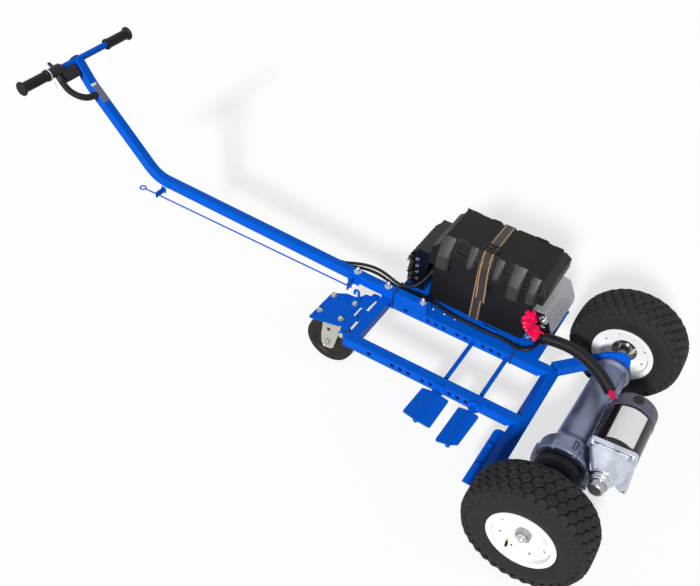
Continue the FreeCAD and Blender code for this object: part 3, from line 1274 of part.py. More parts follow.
def battery_lid():
    """The moulded lid: two outlines crossed, then windows, ledges and the inside cut out of the block.

    x and y run from the middle of the box and z from the tray, so both long sides share every number.
    """
    half_l, half_w = size("lid_length") / 2, size("lid_width") / 2
    foot, sill, ledge, top = size("lid_foot"), size("lid_sill"), size("lid_ledge"), size("lid_top")
    slope, wall, rise = size("lid_slope"), size("lid_wall"), size("lid_rise")
    end_x = size("lid_ahead") + half_l
    rear_x = size("lid_ahead") - half_l
    side = padded("lid_side_view", "XZ_Plane", [(rear_x, foot), (end_x, foot), (end_x, ledge - 8, 14),
                                                (end_x - 30, top - 14, 34), (end_x - 95, top, 60),
                                                (-75, top), (-81, top + rise), (rear_x + 38, top + rise, 8),
                                                (rear_x + 26, ledge + 12, 10), (rear_x, ledge - 10, 6)],
                  "sizes.lid_width")
    end_view = padded("lid_end_view", "YZ_Plane", [
        (-half_w, foot), (half_w, foot), (half_w, ledge - 15, 4), (half_w - slope, top + rise, 10),
        (slope - half_w, top + rise, 10), (-half_w, ledge - 15, 4)], "2 * sizes.lid_length")
    block = common("lid_block", side, end_view)
    tools = []

    def window(tag, low, high, outline):
        """A pocket in both long sides: an outline across the box, cut from x = low to x = high."""
        for number, way in enumerate((-1, 1)):
            points = [(way * p[0], p[1]) + tuple(p[2:]) for p in outline]
            tool = padded("lid_%s%d" % (tag, number), "YZ_Plane", points, str(high - low), middle=False)
            tool.Placement = at(low, 0, 0)
            tools.append(tool)

    post, pillar = size("post_width"), size("pillar_width")
    post_a, post_b = -173.0, 98.0
    a_out, b_in = post_a + post, post_b
    face = half_w - 7
    out = half_w + 2
    window("sill", a_out, b_in, [(out, foot - 1), (out, ledge - 15), (face, ledge - 1), (face, sill),
                                 (face - 14, sill), (face - 14, foot - 1)])
    hollow = [(out, ledge + 4), (face - 14, ledge + 4, 2), (face - 30, top - 5, 2), (out, top - 5)]
    shallow = [(out, ledge + 4), (face - 9, ledge + 4), (face - 36, top + rise + 2), (out, top + rise + 2)]
    strap_x = size("strap_offset")
    gap = size("strap_width") / 2 + 12
    window("window_a", a_out + 14, strap_x - gap - pillar, hollow)
    window("notch_a", a_out + 14, a_out + 52, [(out, top - 12), (face - 20, top - 12),
                                               (face - 34, top + rise + 2), (out, top + rise + 2)])
    window("strap_run", strap_x - gap, strap_x + gap, shallow)
    window("window_b", strap_x + gap + pillar, b_in, hollow)
    window("window_c", b_in + post + 22, end_x - 29, [(out, sill + 14), (face - 12, sill + 14, 2),
                                                     (face - 12, ledge - 6, 2), (out, ledge + 10)])
    window("end_under", b_in + post, end_x + 2, [(out, foot - 1), (out, sill + 12), (face - 14, sill + 12),
                                                 (face - 14, foot - 1)])
    window("corner_face", b_in + post, end_x - 24, [(out, ledge - 10), (face - 8, ledge - 10),
                                                    (face - 30, top + rise + 2), (out, top + rise + 2)])
    window("rear_face", rear_x - 2, post_a, [(out, foot - 1), (out, top + rise + 2),
                                             (half_w - slope, top + rise + 2), (face - 5, ledge, 6),
                                             (face - 5, foot - 1)])
    tub_l = size("box_length") / 2 + size("box_taper") + size("lid_room")
    tub_w = size("box_width") / 2 + size("box_taper") + size("lid_room")
    low_room = box("lid_low_room", at(-tub_l, -tub_w, foot - 2), Length=str(2 * tub_l), Width=str(2 * tub_w),
                   Height=str(size("box_height") + 3 - foot + 2))
    high_room = padded("lid_high_room", "YZ_Plane", [
        (-tub_w + 6, size("box_height")), (tub_w - 6, size("box_height")), (tub_w - 10, ledge - 4),
        (half_w - slope - 16, top - wall), (slope + 16 - half_w, top - wall), (10 - tub_w, ledge - 4)],
        str(2 * tub_l - 90))
    high_room.Placement = at(-24, 0, 0)
    mid_room = box("lid_mid_room", at(-tub_l + 22, 10 - tub_w, foot), Length=str(2 * tub_l - 44),
                   Width=str(2 * tub_w - 20), Height=str(ledge - 5 - foot))
    end_room = box("lid_end_room", at(tub_l + wall, -half_w - 1, foot - 2), Length=str(half_l),
                   Width=str(2 * half_w + 2), Height=str(sill + 14 - foot))
    item = cut("lid_cut", block, fuse("lid_tools", low_room, mid_room, high_room, end_room, *tools))
    item.Placement = on_frame(BOX_MIDDLE.x, BOX_MIDDLE.y, 0)
    return keep(item, "battery_lid")


battery_lid()

battery = box("battery_block", on_frame(BOX_MIDDLE.x - size("battery_length") / 2,
                                        BOX_MIDDLE.y - size("battery_width") / 2, size("box_wall") + 0.1),
              Length="sizes.battery_length", Width="sizes.battery_width", Height="sizes.battery_height")
keep(battery, "battery")


def strap_band():
    """The webbing: from the tray up both sides and taut over the lid's ledge and top."""
    half_w, clear, thick = size("lid_width") / 2, 0.4, size("strap_thickness")
    face = half_w - 7 + clear
    ledge, top = size("lid_ledge"), size("lid_top") + clear
    edge = half_w - size("lid_slope") + 2
    path = [(size("box_width") / 2 + 3, 0.3), (face, size("lid_sill")), (face, ledge, 8), (edge, top, 6)]
    outer = [(p[0] + thick, p[1]) + tuple(p[2:]) for p in path]
    outer[-1] = (edge + thick / 2, top + thick, 6 + thick)
    right = path + [(-p[0], p[1]) + tuple(p[2:]) for p in path[::-1]]
    left = outer + [(-p[0], p[1]) + tuple(p[2:]) for p in outer[::-1]]
    band = padded("strap_band", "YZ_Plane", right + left[::-1], "sizes.strap_width")
    hang = face + thick + 0.8
    tail_path = [(edge + thick + 1, top - 5), (hang, ledge - 2, 16), (hang + 1, 118, 60), (hang + 10, 84)]
    tail_outer = [(p[0] + thick, p[1] + 1) + tuple(p[2:]) for p in tail_path]
    tail = padded("strap_tail", "YZ_Plane", [(-p[0],) + tuple(p[1:]) for p in tail_path + tail_outer[::-1]],
                  "sizes.strap_width")
    tail.Placement = at(9, 0, 0)
    bridge = box("strap_bridge", at(-10, -hang - 1, ledge - 30), Length="28", Width="2.5", Height="10")
    item = fuse("strap_fused", band, tail, bridge)
    item.Placement = on_frame(BOX_MIDDLE.x + size("strap_offset"), BOX_MIDDLE.y, 0)
    return keep(item, "battery_strap")


strap_band()
buckle = padded("buckle_frame", "XY_Plane", [(-27, -20, 3), (27, -20, 3), (27, 20, 3), (-27, 20, 3)], "7")
buckle_slot = padded("buckle_slots", "XY_Plane", [(-21, -14), (21, -14), (21, -3), (-21, -3)], "20")
buckle_item = cut("buckle_cut", buckle, buckle_slot)
buckle_item.Placement = on_frame(BOX_MIDDLE.x + size("strap_offset"),
                                 BOX_MIDDLE.y - size("lid_width") / 2 + size("lid_slope") + 22,
                                 size("lid_top") + size("strap_thickness") + 4.1)
keep(buckle_item, "strap_buckle")


def finned_controller():
    """The control unit behind the battery box: a black block with upright fins and a row of plugs."""
    length, width, height = size("controller_length"), size("controller_width"), size("controller_height")
    plate = box("controller_base", at(0, 0, 0), Length=str(length * 0.62), Width="sizes.controller_width",
                Height="sizes.controller_height")
    fins = []
    count = int(width / (2 * size("fin_pitch")))
    for number in range(count):
        fin = padded("controller_fin%d" % number, "XZ_Plane", [
            (length * 0.6, 6), (length, 14, 6), (length, height - 40, 14), (length * 0.6, height - 6)], "3",
            middle=False)
        fin.Placement = at(0, 8 + number * (width - 16) / (count - 1), 0)
        fins.append(fin)
    plug_row = box("controller_plugs", at(8, -9, 30), Length="30", Width="10", Height="92")
    item = fuse("controller_fused", plate, plug_row, *fins)
    turn = FreeCAD.Rotation(Z_AXIS, 180)
    item.Placement = on_frame(3 - size("tray_rear") + length, BOX_Y + 18 + width, 0.05, turn)
    return keep(item, "motor_controller")


finned_controller()

FINNED_X = BOX_MIDDLE.x + size("box_length") / 2 + 1.5
FINNED_Y = BOX_Y + 23


def finned_unit():
    """The aluminium power unit ahead of the box: its ribs follow the falling, rounded top."""
    length, height = size("finned_length"), size("finned_height")
    profile = [(0, 0), (length - 8, 0, 4), (length, height * 0.42, 60), (length * 0.62, height * 0.93, 26),
               (0, height, 6)]
    shell = padded("finned_shell", "XZ_Plane", profile, "sizes.finned_width", middle=False)
    outline = corner_edges(profile)
    arcs = Part.Wire(Part.__sortEdges__([edge.toShape() for edge in outline]))
    ribs = []
    for number, point in enumerate(arcs.discretize(Distance=size("fin_pitch"))):
        if point.y < height * 0.3 or point.x < 6:
            continue
        rib = cylinder("finned_rib%d" % number, "sizes.fin_rise * 0.6", "sizes.finned_width - 12",
                       at(point.x, -size("finned_width") + 6, point.y, ALONG_Y))
        ribs.append(rib)
    item = fuse("finned_fused", shell, *ribs)
    item.Placement = on_frame(FINNED_X, FINNED_Y + size("finned_width"), 0.05)
    return keep(item, "finned_box")


finned_unit()

plate_y = FINNED_Y - size("weld_gap")
terminal_plate = padded("terminal_plate_body", "XZ_Plane", [(4, 6, 10), (86, 6, 12), (88, 60, 20),
                                                            (60, 134, 24), (4, 134, 12)],
                        "sizes.terminal_plate", middle=False)
terminal_plate.Placement = on_frame(FINNED_X, plate_y, 0)
keep(terminal_plate, "terminal_plate")
TERMINAL_Y = plate_y - size("terminal_plate")


def boot(name, place):
    """A rubber terminal boot: a domed cup on its stud, along +z of its place."""
    r, length = size("boot_radius"), size("boot_length")
    cup = turned(name, [(0, 0), (r, 0), (r - 1, length * 0.55, 6), (r * 0.45, length - 4, 4),
                        (r * 0.35, length, 2), (0, length)])
    cup.Placement = place.multiply(at(0, 0, 0, FreeCAD.Rotation(X_AXIS, 90)))
    return cup


FROM_PLATE = FreeCAD.Rotation(X_AXIS, 90)
boots = [boot("upper_boot", on_frame(FINNED_X + 17, TERMINAL_Y, 112, FROM_PLATE)),
         boot("lower_boot", on_frame(FINNED_X + 36, TERMINAL_Y, 64, FROM_PLATE))]

# ------------------------------------------------------------------ cables
def route_path(points):
    """Straight runs joined by tangent arcs, each as large as its two runs allow."""
    spots = [Vector(*p) for p in points]
    edges, radii, start = [], [], spots[0]
    for i in range(1, len(spots) - 1):
        before, after = spots[i - 1] - spots[i], spots[i + 1] - spots[i]
        reach = 0.45 * min(before.Length, after.Length)
        before, after = before.normalize(), after.normalize()
        half = (math.pi - before.getAngle(after)) / 2
        radius = reach / math.tan(half)
        radii.append(radius)
        entry, leave = spots[i] + before * reach, spots[i] + after * reach
        middle = spots[i] + (before + after).normalize() * (radius / math.cos(half) - radius)
        edges += [Part.LineSegment(start, entry).toShape(), Part.Arc(entry, middle, leave).toShape()]
        start = leave
    edges.append(Part.LineSegment(start, spots[-1]).toShape())
    return Part.Wire(edges), radii


def facing(start, end):
    """The rotation that turns z to the way from one point to another."""
    return FreeCAD.Rotation(Z_AXIS, Vector(*end) - Vector(*start))


def cord(label, radius, points):
    """A cable's solid: a disc swept along its route."""
    wire, radii = route_path(points)
    path = doc.addObject("Part::Feature", label + "_path")
    path.Shape = wire
    disc = doc.addObject("Part::Circle", label + "_disc")
    bind(disc, Radius=radius)
    disc.Placement = FreeCAD.Placement(Vector(*points[0]), facing(points[0], points[1]))
    item = doc.addObject("Part::Sweep", label + "_sweep")
    item.Sections = [disc]
    item.Spine = (path, [])
    item.Solid = True
    item.Frenet = False
    print("%s: %.0f mm long, radii %s" % (label, wire.Length, ", ".join("%.0f" % r for r in radii)))
    return keep(item, label)


# Routes are control points, in the tug's axes.
CONTROL_ROUTE = [(-7, 197, 312.5), (17, 202, 315), (48, 209, 321), (94, 216, 326), (144, 217, 325),
                 (188, 211, 315), (222, 207, 303), (255, 207, 297), (284, 216, 304), (307, 233, 320),
                 (323, 248, 340), (334, 260.5, 359)]
TRUNK_ROUTE = [(-8, 197, 297.5), (16, 202, 299.5), (47, 209, 304), (92, 214, 307), (142, 214, 305),
               (186, 209, 295), (224, 208, 282), (261, 217, 272), (304, 230, 266), (354, 228, 262),
               (402, 213, 259), (448, 203, 256), (496, 199, 251), (544, 198, 247), (590, 198, 243.5),
               (635, 200, 239), (679, 199, 235), (717, 189, 234), (750, 189, 237), (772, 205, 243),
               (781, 233, 249), (781, 261.85, 249)]
MOTOR_ROUTE = [(802, 236, 282), (872, 222, 303), (944, 192, 315), (1008, 152, 316), (1056, 116, 311),
               (1083, 90, 303)]
LOOM_ROUTE = [(-1202, 52, 813.1), (-1185.3, 52, 790.8), (-1169, 60, 769), (-1155, 76, 751), (-1144, 98, 736),
              (-1137, 124, 728), (-1137, 151.45, 728)]


def gland(name, route, radius, length, first=True):
    """A rubber sleeve in line with a cable's end, just behind it."""
    end, inner = (route[0], route[1]) if first else (route[-1], route[-2])
    item = cylinder(name, radius, str(length), FreeCAD.Placement(Vector(*end), facing(inner, end)))
    return item


cord("control_cable", "sizes.cable_radius", CONTROL_ROUTE)
cord("trunk_cable", "sizes.cable_radius", TRUNK_ROUTE)
cord("motor_conduit", "sizes.conduit_radius", MOTOR_ROUTE)
cord("throttle_loom", "sizes.loom_radius", LOOM_ROUTE)

handle_room = box("handle_room", at(-200, FAR_EDGE - 99.95, 200), Length="400", Width="100", Height="200")
outlets = [cut(name + "_cut", gland(name, route, "sizes.cable_radius + 1.5", 24), handle_room)
           for name, route in (("control_outlet", CONTROL_ROUTE), ("trunk_outlet", TRUNK_ROUTE))]
box_gland = cut("box_gland_cut", gland("box_gland", CONTROL_ROUTE, "sizes.cable_radius + 3", 14, False),
                battery_box)
conduit_gland = gland("conduit_gland", MOTOR_ROUTE, "sizes.gland_radius", 18)
gland_foot = box("gland_foot", at(778, TERMINAL_Y - 0.05 - 24, 268), Length="16", Width="24", Height="24")
conduit_end = fuse("conduit_gland_fused", conduit_gland, gland_foot)
keep(group("cable_gland_set", *outlets, box_gland, conduit_end), "cable_glands")
motor_boot = cut("motor_boot_cut", gland("motor_boot", MOTOR_ROUTE, "sizes.wire_boot_radius", 26, False),
                 end_cap)
keep(group("terminal_boot_set", motor_boot, *boots), "terminal_boots")


def tie(name, x, points):
    """A cable tie: a thin band round the points of its inner outline, across the frame."""
    middle = (sum(p[0] for p in points) / len(points), sum(p[1] for p in points) / len(points))
    outer = []
    for y, z in points:
        reach = math.hypot(y - middle[0], z - middle[1])
        grow = 1 + 1.4 * size("tie_thickness") / reach
        outer.append((middle[0] + (y - middle[0]) * grow, middle[1] + (z - middle[1]) * grow))
    band = cut(name, padded(name + "_outer", "YZ_Plane", outer, "sizes.tie_width"),
               padded(name + "_inner", "YZ_Plane", points, "sizes.tie_width + 1"))
    band.Placement = on_frame(x, 0, 0)
    return band


NEAR_SIDE = FAR_RAIL_Y - TUBE / 2 - 0.2
TIE_X = (size("rear_tie_x"), size("tray_tie_x"), size("rail_tie_x"))
SLOT_Y = FAR_EDGE + size("tray_plate") + 5
ties = [tie("handle_tie", TIE_X[0], [(NEAR_SIDE, -TUBE - 0.3), (NEAR_SIDE, TUBE + 0.4), (196, TUBE + 6.5),
                                     (210, TUBE + 6.5), (216.5, 40), (220.5, 18), (220.5, 8), (SLOT_Y, 3.5),
                                     (SLOT_Y, -TUBE - 0.3)]),
        tie("tray_tie", TIE_X[1], [(198.5 + 7.1 * x, 9.3 + 7.1 * z) for x, z in around(8, 1.0)]),
        tie("rail_tie", TIE_X[2], [(NEAR_SIDE, -TUBE - 0.3), (NEAR_SIDE, 0.4), (181, 18.5), (195, 18.5),
                                   (SLOT_Y + 0.3, 10), (SLOT_Y, -TUBE - 0.3)])]
keep(group("cable_tie_set", *ties), "cable_ties")

# ------------------------------------------------------------------ write
doc.recompute()
os.makedirs("parts", exist_ok=True)
for item in doc.Objects:
    if "Invalid" in item.State or "Error" in item.State:
        raise RuntimeError("%s did not build" % item.Label)
for item in NODES:
    if item.Shape.isNull() or not item.Shape.isValid():
        raise RuntimeError("%s is not a sound solid" % item.Label)
    item.Shape.exportStep("parts/%s.step" % item.Label)
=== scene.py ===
"""Looks of the walk-behind aircraft tug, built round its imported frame.

Lengths are in metres, in the tug's own axes: +X towards the drive wheels, +Y towards the
battery and +Z up.  Run as a script; every operator dresses one group of pieces.
"""

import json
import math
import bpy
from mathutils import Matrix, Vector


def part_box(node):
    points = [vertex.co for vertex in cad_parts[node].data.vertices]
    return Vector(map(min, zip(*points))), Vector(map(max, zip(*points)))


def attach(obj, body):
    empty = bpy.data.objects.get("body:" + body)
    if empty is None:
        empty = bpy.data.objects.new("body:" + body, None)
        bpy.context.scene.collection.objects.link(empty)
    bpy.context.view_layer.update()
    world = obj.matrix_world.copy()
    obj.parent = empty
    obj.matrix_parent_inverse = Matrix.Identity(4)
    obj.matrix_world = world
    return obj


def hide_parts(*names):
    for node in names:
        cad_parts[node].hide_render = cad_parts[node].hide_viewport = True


bl_info = {
    "name": "Aircraft tug dressing",
    "version": (1, 0, 0),
    "blender": (4, 5, 0),
    "location": "3D View > Sidebar > Tug",
    "description": "Finishes, tread, fasteners, cables and straps of a walk-behind aircraft tug",
    "category": "Object",
}

import bmesh
import bpy
from bpy.props import FloatProperty, FloatVectorProperty, IntProperty, PointerProperty
from mathutils import Matrix, Vector

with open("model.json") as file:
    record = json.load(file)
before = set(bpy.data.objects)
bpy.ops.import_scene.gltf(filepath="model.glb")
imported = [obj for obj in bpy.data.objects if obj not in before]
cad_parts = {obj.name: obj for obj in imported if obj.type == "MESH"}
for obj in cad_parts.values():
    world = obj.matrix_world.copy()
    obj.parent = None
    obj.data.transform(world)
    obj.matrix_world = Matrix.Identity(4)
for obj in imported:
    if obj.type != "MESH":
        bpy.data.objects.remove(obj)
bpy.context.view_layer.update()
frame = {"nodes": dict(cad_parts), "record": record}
NODES = frame["nodes"]
BODY_OF = {node: body for body, nodes in frame["record"]["behaviour"]["bodies"].items() for node in nodes}
SLOT_OF = {part["node"]: part["material_slot"] for part in frame["record"]["subparts"]}

MM = 0.001


# ---- places
MOTOR_AXIS = Vector((1.171, 0, 0.2512))
MOTOR_RADIUS = 0.076
TUBE_HALF = 0.01905              # half the side of the rails' and the handle's square tube
RAIL_TURN = Matrix.Rotation(math.radians(4.75), 3, "Y")
RAIL_DATUM = Vector((0.543, 0, 0.2382))
# What follows is in the rails' own axes: along, across, and above their datum.
HANDLE_FOOT = Vector((-0.402, 0.17055, TUBE_HALF))
LOWER_RISE, UPPER_RISE = math.radians(2.1), math.radians(45.15)
LOWER_RUN = 1.04                 # from the handle's foot to its knee
BOX_ACROSS = 0.3525              # the battery box's middle
TERMINALS_ACROSS = 0.2605        # the terminal plate's open face


def centre_of(node):
    low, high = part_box(node)
    return (low + high) / 2


def rails_way(along, across, above):
    """A direction given along the sloping rails, across them and square to their top."""
    return RAIL_TURN @ Vector((along, across, above))


RAILS_UP = rails_way(0, 0, 1)


def on_rails(along, across, above):
    """A point given in the rails' own axes."""
    return RAIL_DATUM + rails_way(along, across, above)


def handle_ways(rise):
    """Along one of the handle's runs and out of its top, in the rails' axes."""
    return Vector((-math.cos(rise), 0, math.sin(rise))), Vector((math.sin(rise), 0, math.cos(rise)))


def facing(spot, way):
    """A matrix that puts the origin at a spot with z along a way."""
    return Matrix.Translation(spot) @ Vector(way).to_track_quat("Z", "Y").to_matrix().to_4x4()


def shifted(x, y, z):
    return Matrix.Translation((x, y, z))


def turned(degrees, axis):
    return Matrix.Rotation(math.radians(degrees), 4, axis)


# ---- settings
class TugSizes(bpy.types.PropertyGroup):
    """Sizes that the dressing takes beyond the frame's own."""
    tread_blocks: IntProperty(name="Tread blocks", description="Blocks in one row of the drive tyres", default=34,
        min=12, max=60)
    tread_rise: FloatProperty(name="Tread rise", description="How far a block stands off the carcass", default=0.0088,
        unit="LENGTH", precision=4)
    block_length: FloatProperty(name="Block length", description="Length of a tread block round the tyre",
        default=0.0302, unit="LENGTH", precision=4)
    row_spacing: FloatProperty(name="Row spacing", description="Distance between the tread's rows", default=0.0315,
        unit="LENGTH", precision=4)
    hose_pitch: FloatProperty(name="Conduit pitch", description="Distance between the rings of the motor conduit",
        default=0.0072, unit="LENGTH", precision=4)
    stripe_width: FloatProperty(name="Strap stripe", description="Width of each woven stripe, as a share of the strap",
        default=0.085, min=0.01, max=0.3)
    label_lift: FloatProperty(name="Plate thickness", description="How far the blank plates stand off", default=0.0006,
        unit="LENGTH", precision=4)


class TugColours(bpy.types.PropertyGroup):
    """The colours a user would change."""
    enamel: FloatVectorProperty(name="Frame enamel", description="Colour of the frame, handle and fingers",
        subtype="COLOR", size=3, min=0, max=1, default=(0.0008, 0.110, 0.66))
    moulding: FloatVectorProperty(name="Black moulding", description="Colour of the battery box and its lid",
        subtype="COLOR", size=3, min=0, max=1, default=(0.0125, 0.0125, 0.0135))
    rim: FloatVectorProperty(name="Rim enamel", description="Colour of the wheel rims", subtype="COLOR", size=3, min=0,
        max=1, default=(0.88, 0.88, 0.87))
    boots: FloatVectorProperty(name="Terminal boots", description="Colour of the rubber terminal boots",
        subtype="COLOR", size=3, min=0, max=1, default=(0.84, 0.007, 0.085))
    stripe: FloatVectorProperty(name="Strap stripes", description="Colour of the strap's woven stripes",
        subtype="COLOR", size=3, min=0, max=1, default=(0.66, 0.33, 0.11))


def colours():
    return bpy.context.scene.tug_colours


def sizes():
    return bpy.context.scene.tug_sizes


# ---- node trees
def feed(tree, node, inputs):
    """Fills a node's inputs, in order or by name or number: a socket is linked and None is left alone."""
    for place, value in inputs.items() if isinstance(inputs, dict) else enumerate(inputs):
        if isinstance(value, bpy.types.NodeSocket):
            tree.links.new(value, node.inputs[place])
        elif value is not None:
            node.inputs[place].default_value = value


def add(tree, kind, inputs=(), **settings):
    """A node with its properties set and its inputs filled."""
    made = tree.nodes.new(kind)
    for name, value in settings.items():
        setattr(made, name, value)
    feed(tree, made, inputs)
    return made


def maths(tree, operation, *values):
    """A math node's output; each operand is a number or a socket."""
    return add(tree, "ShaderNodeMath", values, operation=operation).outputs[0]


def ramp(tree, value, *ends):
    """A value carried from one range to another, which is 0 to 1 if it isn't given."""
    return add(tree, "ShaderNodeMapRange", (value, *ends)).outputs[0]


def noise(tree, scale, detail):
    """Noise over the piece's own coordinates; scale is a number or a socket."""
    place = add(tree, "ShaderNodeTexCoord").outputs["Object"]
    return add(tree, "ShaderNodeTexNoise", (place, None, scale, detail)).outputs["Fac"]


def mixed(tree, factor, first, second):
    """A colour that goes from first to second with factor; either may be a colour or a socket."""
    first, second = ((*value, 1) if isinstance(value, tuple) else value for value in (first, second))
    return add(tree, "ShaderNodeMix", {0: factor, 6: first, 7: second}, data_type="RGBA").outputs[2]


def new_tree(kind, name, inputs, outputs):
    """An empty tree with its sockets, {label: (type, default)} in and {label: type} out, and their two nodes."""
    tree = bpy.data.node_groups.new(name, kind)
    for label, (socket_type, value) in inputs.items():
        socket = tree.interface.new_socket(label, in_out="INPUT", socket_type="NodeSocket" + socket_type)
        if value is not None:
            socket.default_value = value
    for label, socket_type in outputs.items():
        tree.interface.new_socket(label, in_out="OUTPUT", socket_type="NodeSocket" + socket_type)
    return tree, add(tree, "NodeGroupInput").outputs, add(tree, "NodeGroupOutput")


def kept_tree(make):
    """The tree named after its maker, made the first time that it is asked for."""
    return bpy.data.node_groups.get(make.__name__) or make()


# ---- shader groups
def mottle():
    """Slow drift of colour and gloss over a surface, and a fine grain for its bump."""
    tree, given, out = new_tree("ShaderNodeTree", "mottle", {
        "Patch Scale": ("Float", 6.0), "Grain Scale": ("Float", 400.0)}, {"Patch": "Float", "Grain": "Float"})
    feed(tree, out, {"Patch": noise(tree, given["Patch Scale"], 5.0), "Grain": noise(tree, given["Grain Scale"], 2.0)})
    return tree


def worn_edges():
    """Rounded edges for the shading, and a mask that is 1 along them, broken up by noise."""
    tree, given, out = new_tree("ShaderNodeTree", "worn_edges", {"Radius": ("Float", 0.0015)},
                                {"Normal": "Vector", "Edge": "Float"})
    rounded = add(tree, "ShaderNodeBevel", (given["Radius"],), samples=6).outputs["Normal"]
    flat = add(tree, "ShaderNodeNewGeometry").outputs["Normal"]
    match = add(tree, "ShaderNodeVectorMath", (rounded, flat), operation="DOT_PRODUCT").outputs["Value"]
    bent, patchy = ramp(tree, match, 0.995, 0.93), ramp(tree, noise(tree, 90.0, 3.0), 0.42, 0.62)
    feed(tree, out, {"Normal": rounded, "Edge": maths(tree, "MULTIPLY", bent, patchy)})
    return tree


def settled_dust():
    """A mask for the dust that settles on faces that look up."""
    tree, given, out = new_tree("ShaderNodeTree", "settled_dust", {"Amount": ("Float", 0.2)}, {"Dust": "Float"})
    normal = add(tree, "ShaderNodeNewGeometry").outputs["Normal"]
    height = add(tree, "ShaderNodeSeparateXYZ", (normal,)).outputs["Z"]
    upward, patchy = ramp(tree, height, 0.1, 0.95), ramp(tree, noise(tree, 18.0, 6.0), 0.4, 0.7)
    feed(tree, out, {"Dust": maths(tree, "MULTIPLY", maths(tree, "MULTIPLY", upward, patchy), given["Amount"])})
    return tree


def group(tree, make, inputs):
    """The outputs of a shader group's node."""
    return add(tree, "ShaderNodeGroup", inputs, node_tree=kept_tree(make)).outputs


# ---- finishes
# A colour given as a name is one of the user's.
FINISHES = {
    "blue_enamel": dict(colour="enamel", shade=0.9, gloss=(0.3, 0.45), grain=260, bump=0.1, edge=0.0018,
        worn=(0.002, 0.14, 0.7), specular=0.06),
    "rim_enamel": dict(colour="rim", shade=0.97, gloss=(0.22, 0.4), grain=300, bump=0.08, dust=0.03,
        worn=(0.86, 0.86, 0.85), specular=0.4),
    # The box's and lid's lighter edge colour is a painted highlight along their edges, to show their relief.
    "black_moulding": dict(colour="moulding", shade=0.75, gloss=(0.34, 0.5), grain=1500, bump=0.35, depth=0.0003,
        edge=0.003, worn=(0.085, 0.085, 0.087), specular=0.12),
    # The posts' moulding is painted about three times lighter than the lid's, and lighter still along its edges: a
    # painted sheen where the sun catches their faces.
    "scuffed_moulding": dict(colour=(0.040, 0.040, 0.041), shade=0.6, gloss=(0.4, 0.52), patch=26, grain=1500,
        bump=0.35, depth=0.0003, edge=0.002, worn=(0.11, 0.11, 0.112), specular=0.3),
    "black_enamel": dict(colour=(0.006, 0.006, 0.0075), gloss=(0.14, 0.28), grain=300, bump=0.08, edge=0.0016,
        worn=(0.05, 0.05, 0.055), dust=0.02, specular=0.3),
    "grey_enamel": dict(colour=(0.115, 0.122, 0.185), shade=0.85, gloss=(0.34, 0.5), grain=500, bump=0.15,
        worn=(0.3, 0.31, 0.33), dust=0.02, specular=0.2),
    # The castings' deep, broad drift of colour is part tarnish and part painted reflection: bright and dark patches
    # stand in for surroundings mirrored in the metal.
    "polished_casting": dict(colour=(0.80, 0.85, 0.97), shade=0.4, gloss=(0.18, 0.4), metal=1.0, patch=16, grain=220,
        bump=0.35, depth=0.0007, edge=0.0022, worn=(0.92, 0.92, 0.94)),
    "grey_casting": dict(colour=(0.27, 0.31, 0.45), shade=0.38, gloss=(0.3, 0.5), metal=0.9, patch=13, grain=420,
        bump=0.4, depth=0.0006, edge=0.0022, worn=(0.62, 0.64, 0.68), dust=0.03),
    "satin_silver": dict(colour=(0.42, 0.44, 0.47), shade=0.86, gloss=(0.35, 0.48), metal=0.5, grain=500, bump=0.12,
        worn=(0.6, 0.62, 0.65), dust=0.03),
    "zinc_plate": dict(colour=(0.56, 0.56, 0.47), shade=0.82, gloss=(0.22, 0.42), metal=0.85, patch=45, grain=600,
        bump=0.15, edge=0.0008, worn=(0.85, 0.85, 0.8)),
    "bright_zinc": dict(colour=(0.8, 0.82, 0.84), shade=0.62, gloss=(0.1, 0.22), metal=1.0, patch=60, grain=700,
        bump=0.08, edge=0.0005, worn=(0.95, 0.95, 0.95)),
    "turned_steel": dict(colour=(0.42, 0.42, 0.44), gloss=(0.22, 0.4), metal=1.0, grain=900, bump=0.15,
        worn=(0.75, 0.75, 0.76)),
    "rough_iron": dict(colour=(0.022, 0.024, 0.034), shade=0.6, gloss=(0.5, 0.75), metal=0.3, grain=600, bump=0.6,
        depth=0.0006, worn=(0.09, 0.09, 0.1), dust=0.1, specular=0.25),
    "tread_rubber": dict(colour=(0.027, 0.027, 0.030), shade=0.6, gloss=(0.55, 0.8), patch=22, grain=900, bump=0.5,
        depth=0.0005, edge=0.0014, worn=(0.045, 0.044, 0.046), dust=0.16, dusty=(0.075, 0.07, 0.068), specular=0.14),
    "caster_tread": dict(colour=(0.02, 0.0165, 0.0145), gloss=(0.45, 0.6), grain=700, bump=0.25,
        worn=(0.045, 0.04, 0.036), dust=0.04, specular=0.15),
    "grip_foam": dict(colour=(0.012, 0.011, 0.0105), shade=0.75, gloss=(0.4, 0.58), patch=30, grain=1400, bump=0.5,
        edge=0.001, worn=(0.04, 0.037, 0.036), specular=0.16),
    "boot_skin": dict(colour="boots", shade=0.72, gloss=(0.25, 0.4), patch=40, grain=700, bump=0.2,
        worn=(0.86, 0.02, 0.12), specular=0.12),
    "cable_jacket": dict(colour=(0.0095, 0.0095, 0.0105), shade=0.75, gloss=(0.3, 0.45), patch=30, grain=900,
        bump=0.15, edge=0.0003, worn=(0.03, 0.03, 0.031), specular=0.2),
    "moulded_black": dict(colour=(0.008, 0.008, 0.009), shade=0.75, gloss=(0.28, 0.45), grain=900, bump=0.2,
        edge=0.001, worn=(0.035, 0.035, 0.036), specular=0.3),
    "blank_white": dict(colour=(0.82, 0.83, 0.84), shade=0.97, gloss=(0.3, 0.4), grain=500, bump=0.03, edge=0.0002),
    "blank_grey": dict(colour=(0.115, 0.14, 0.245), shade=0.92, gloss=(0.3, 0.42), grain=500, bump=0.03, edge=0.0002),
    "brass": dict(colour=(0.62, 0.42, 0.14), shade=0.85, gloss=(0.18, 0.3), metal=1.0, grain=700, bump=0.06,
        edge=0.0003, worn=(0.85, 0.7, 0.4)),
}
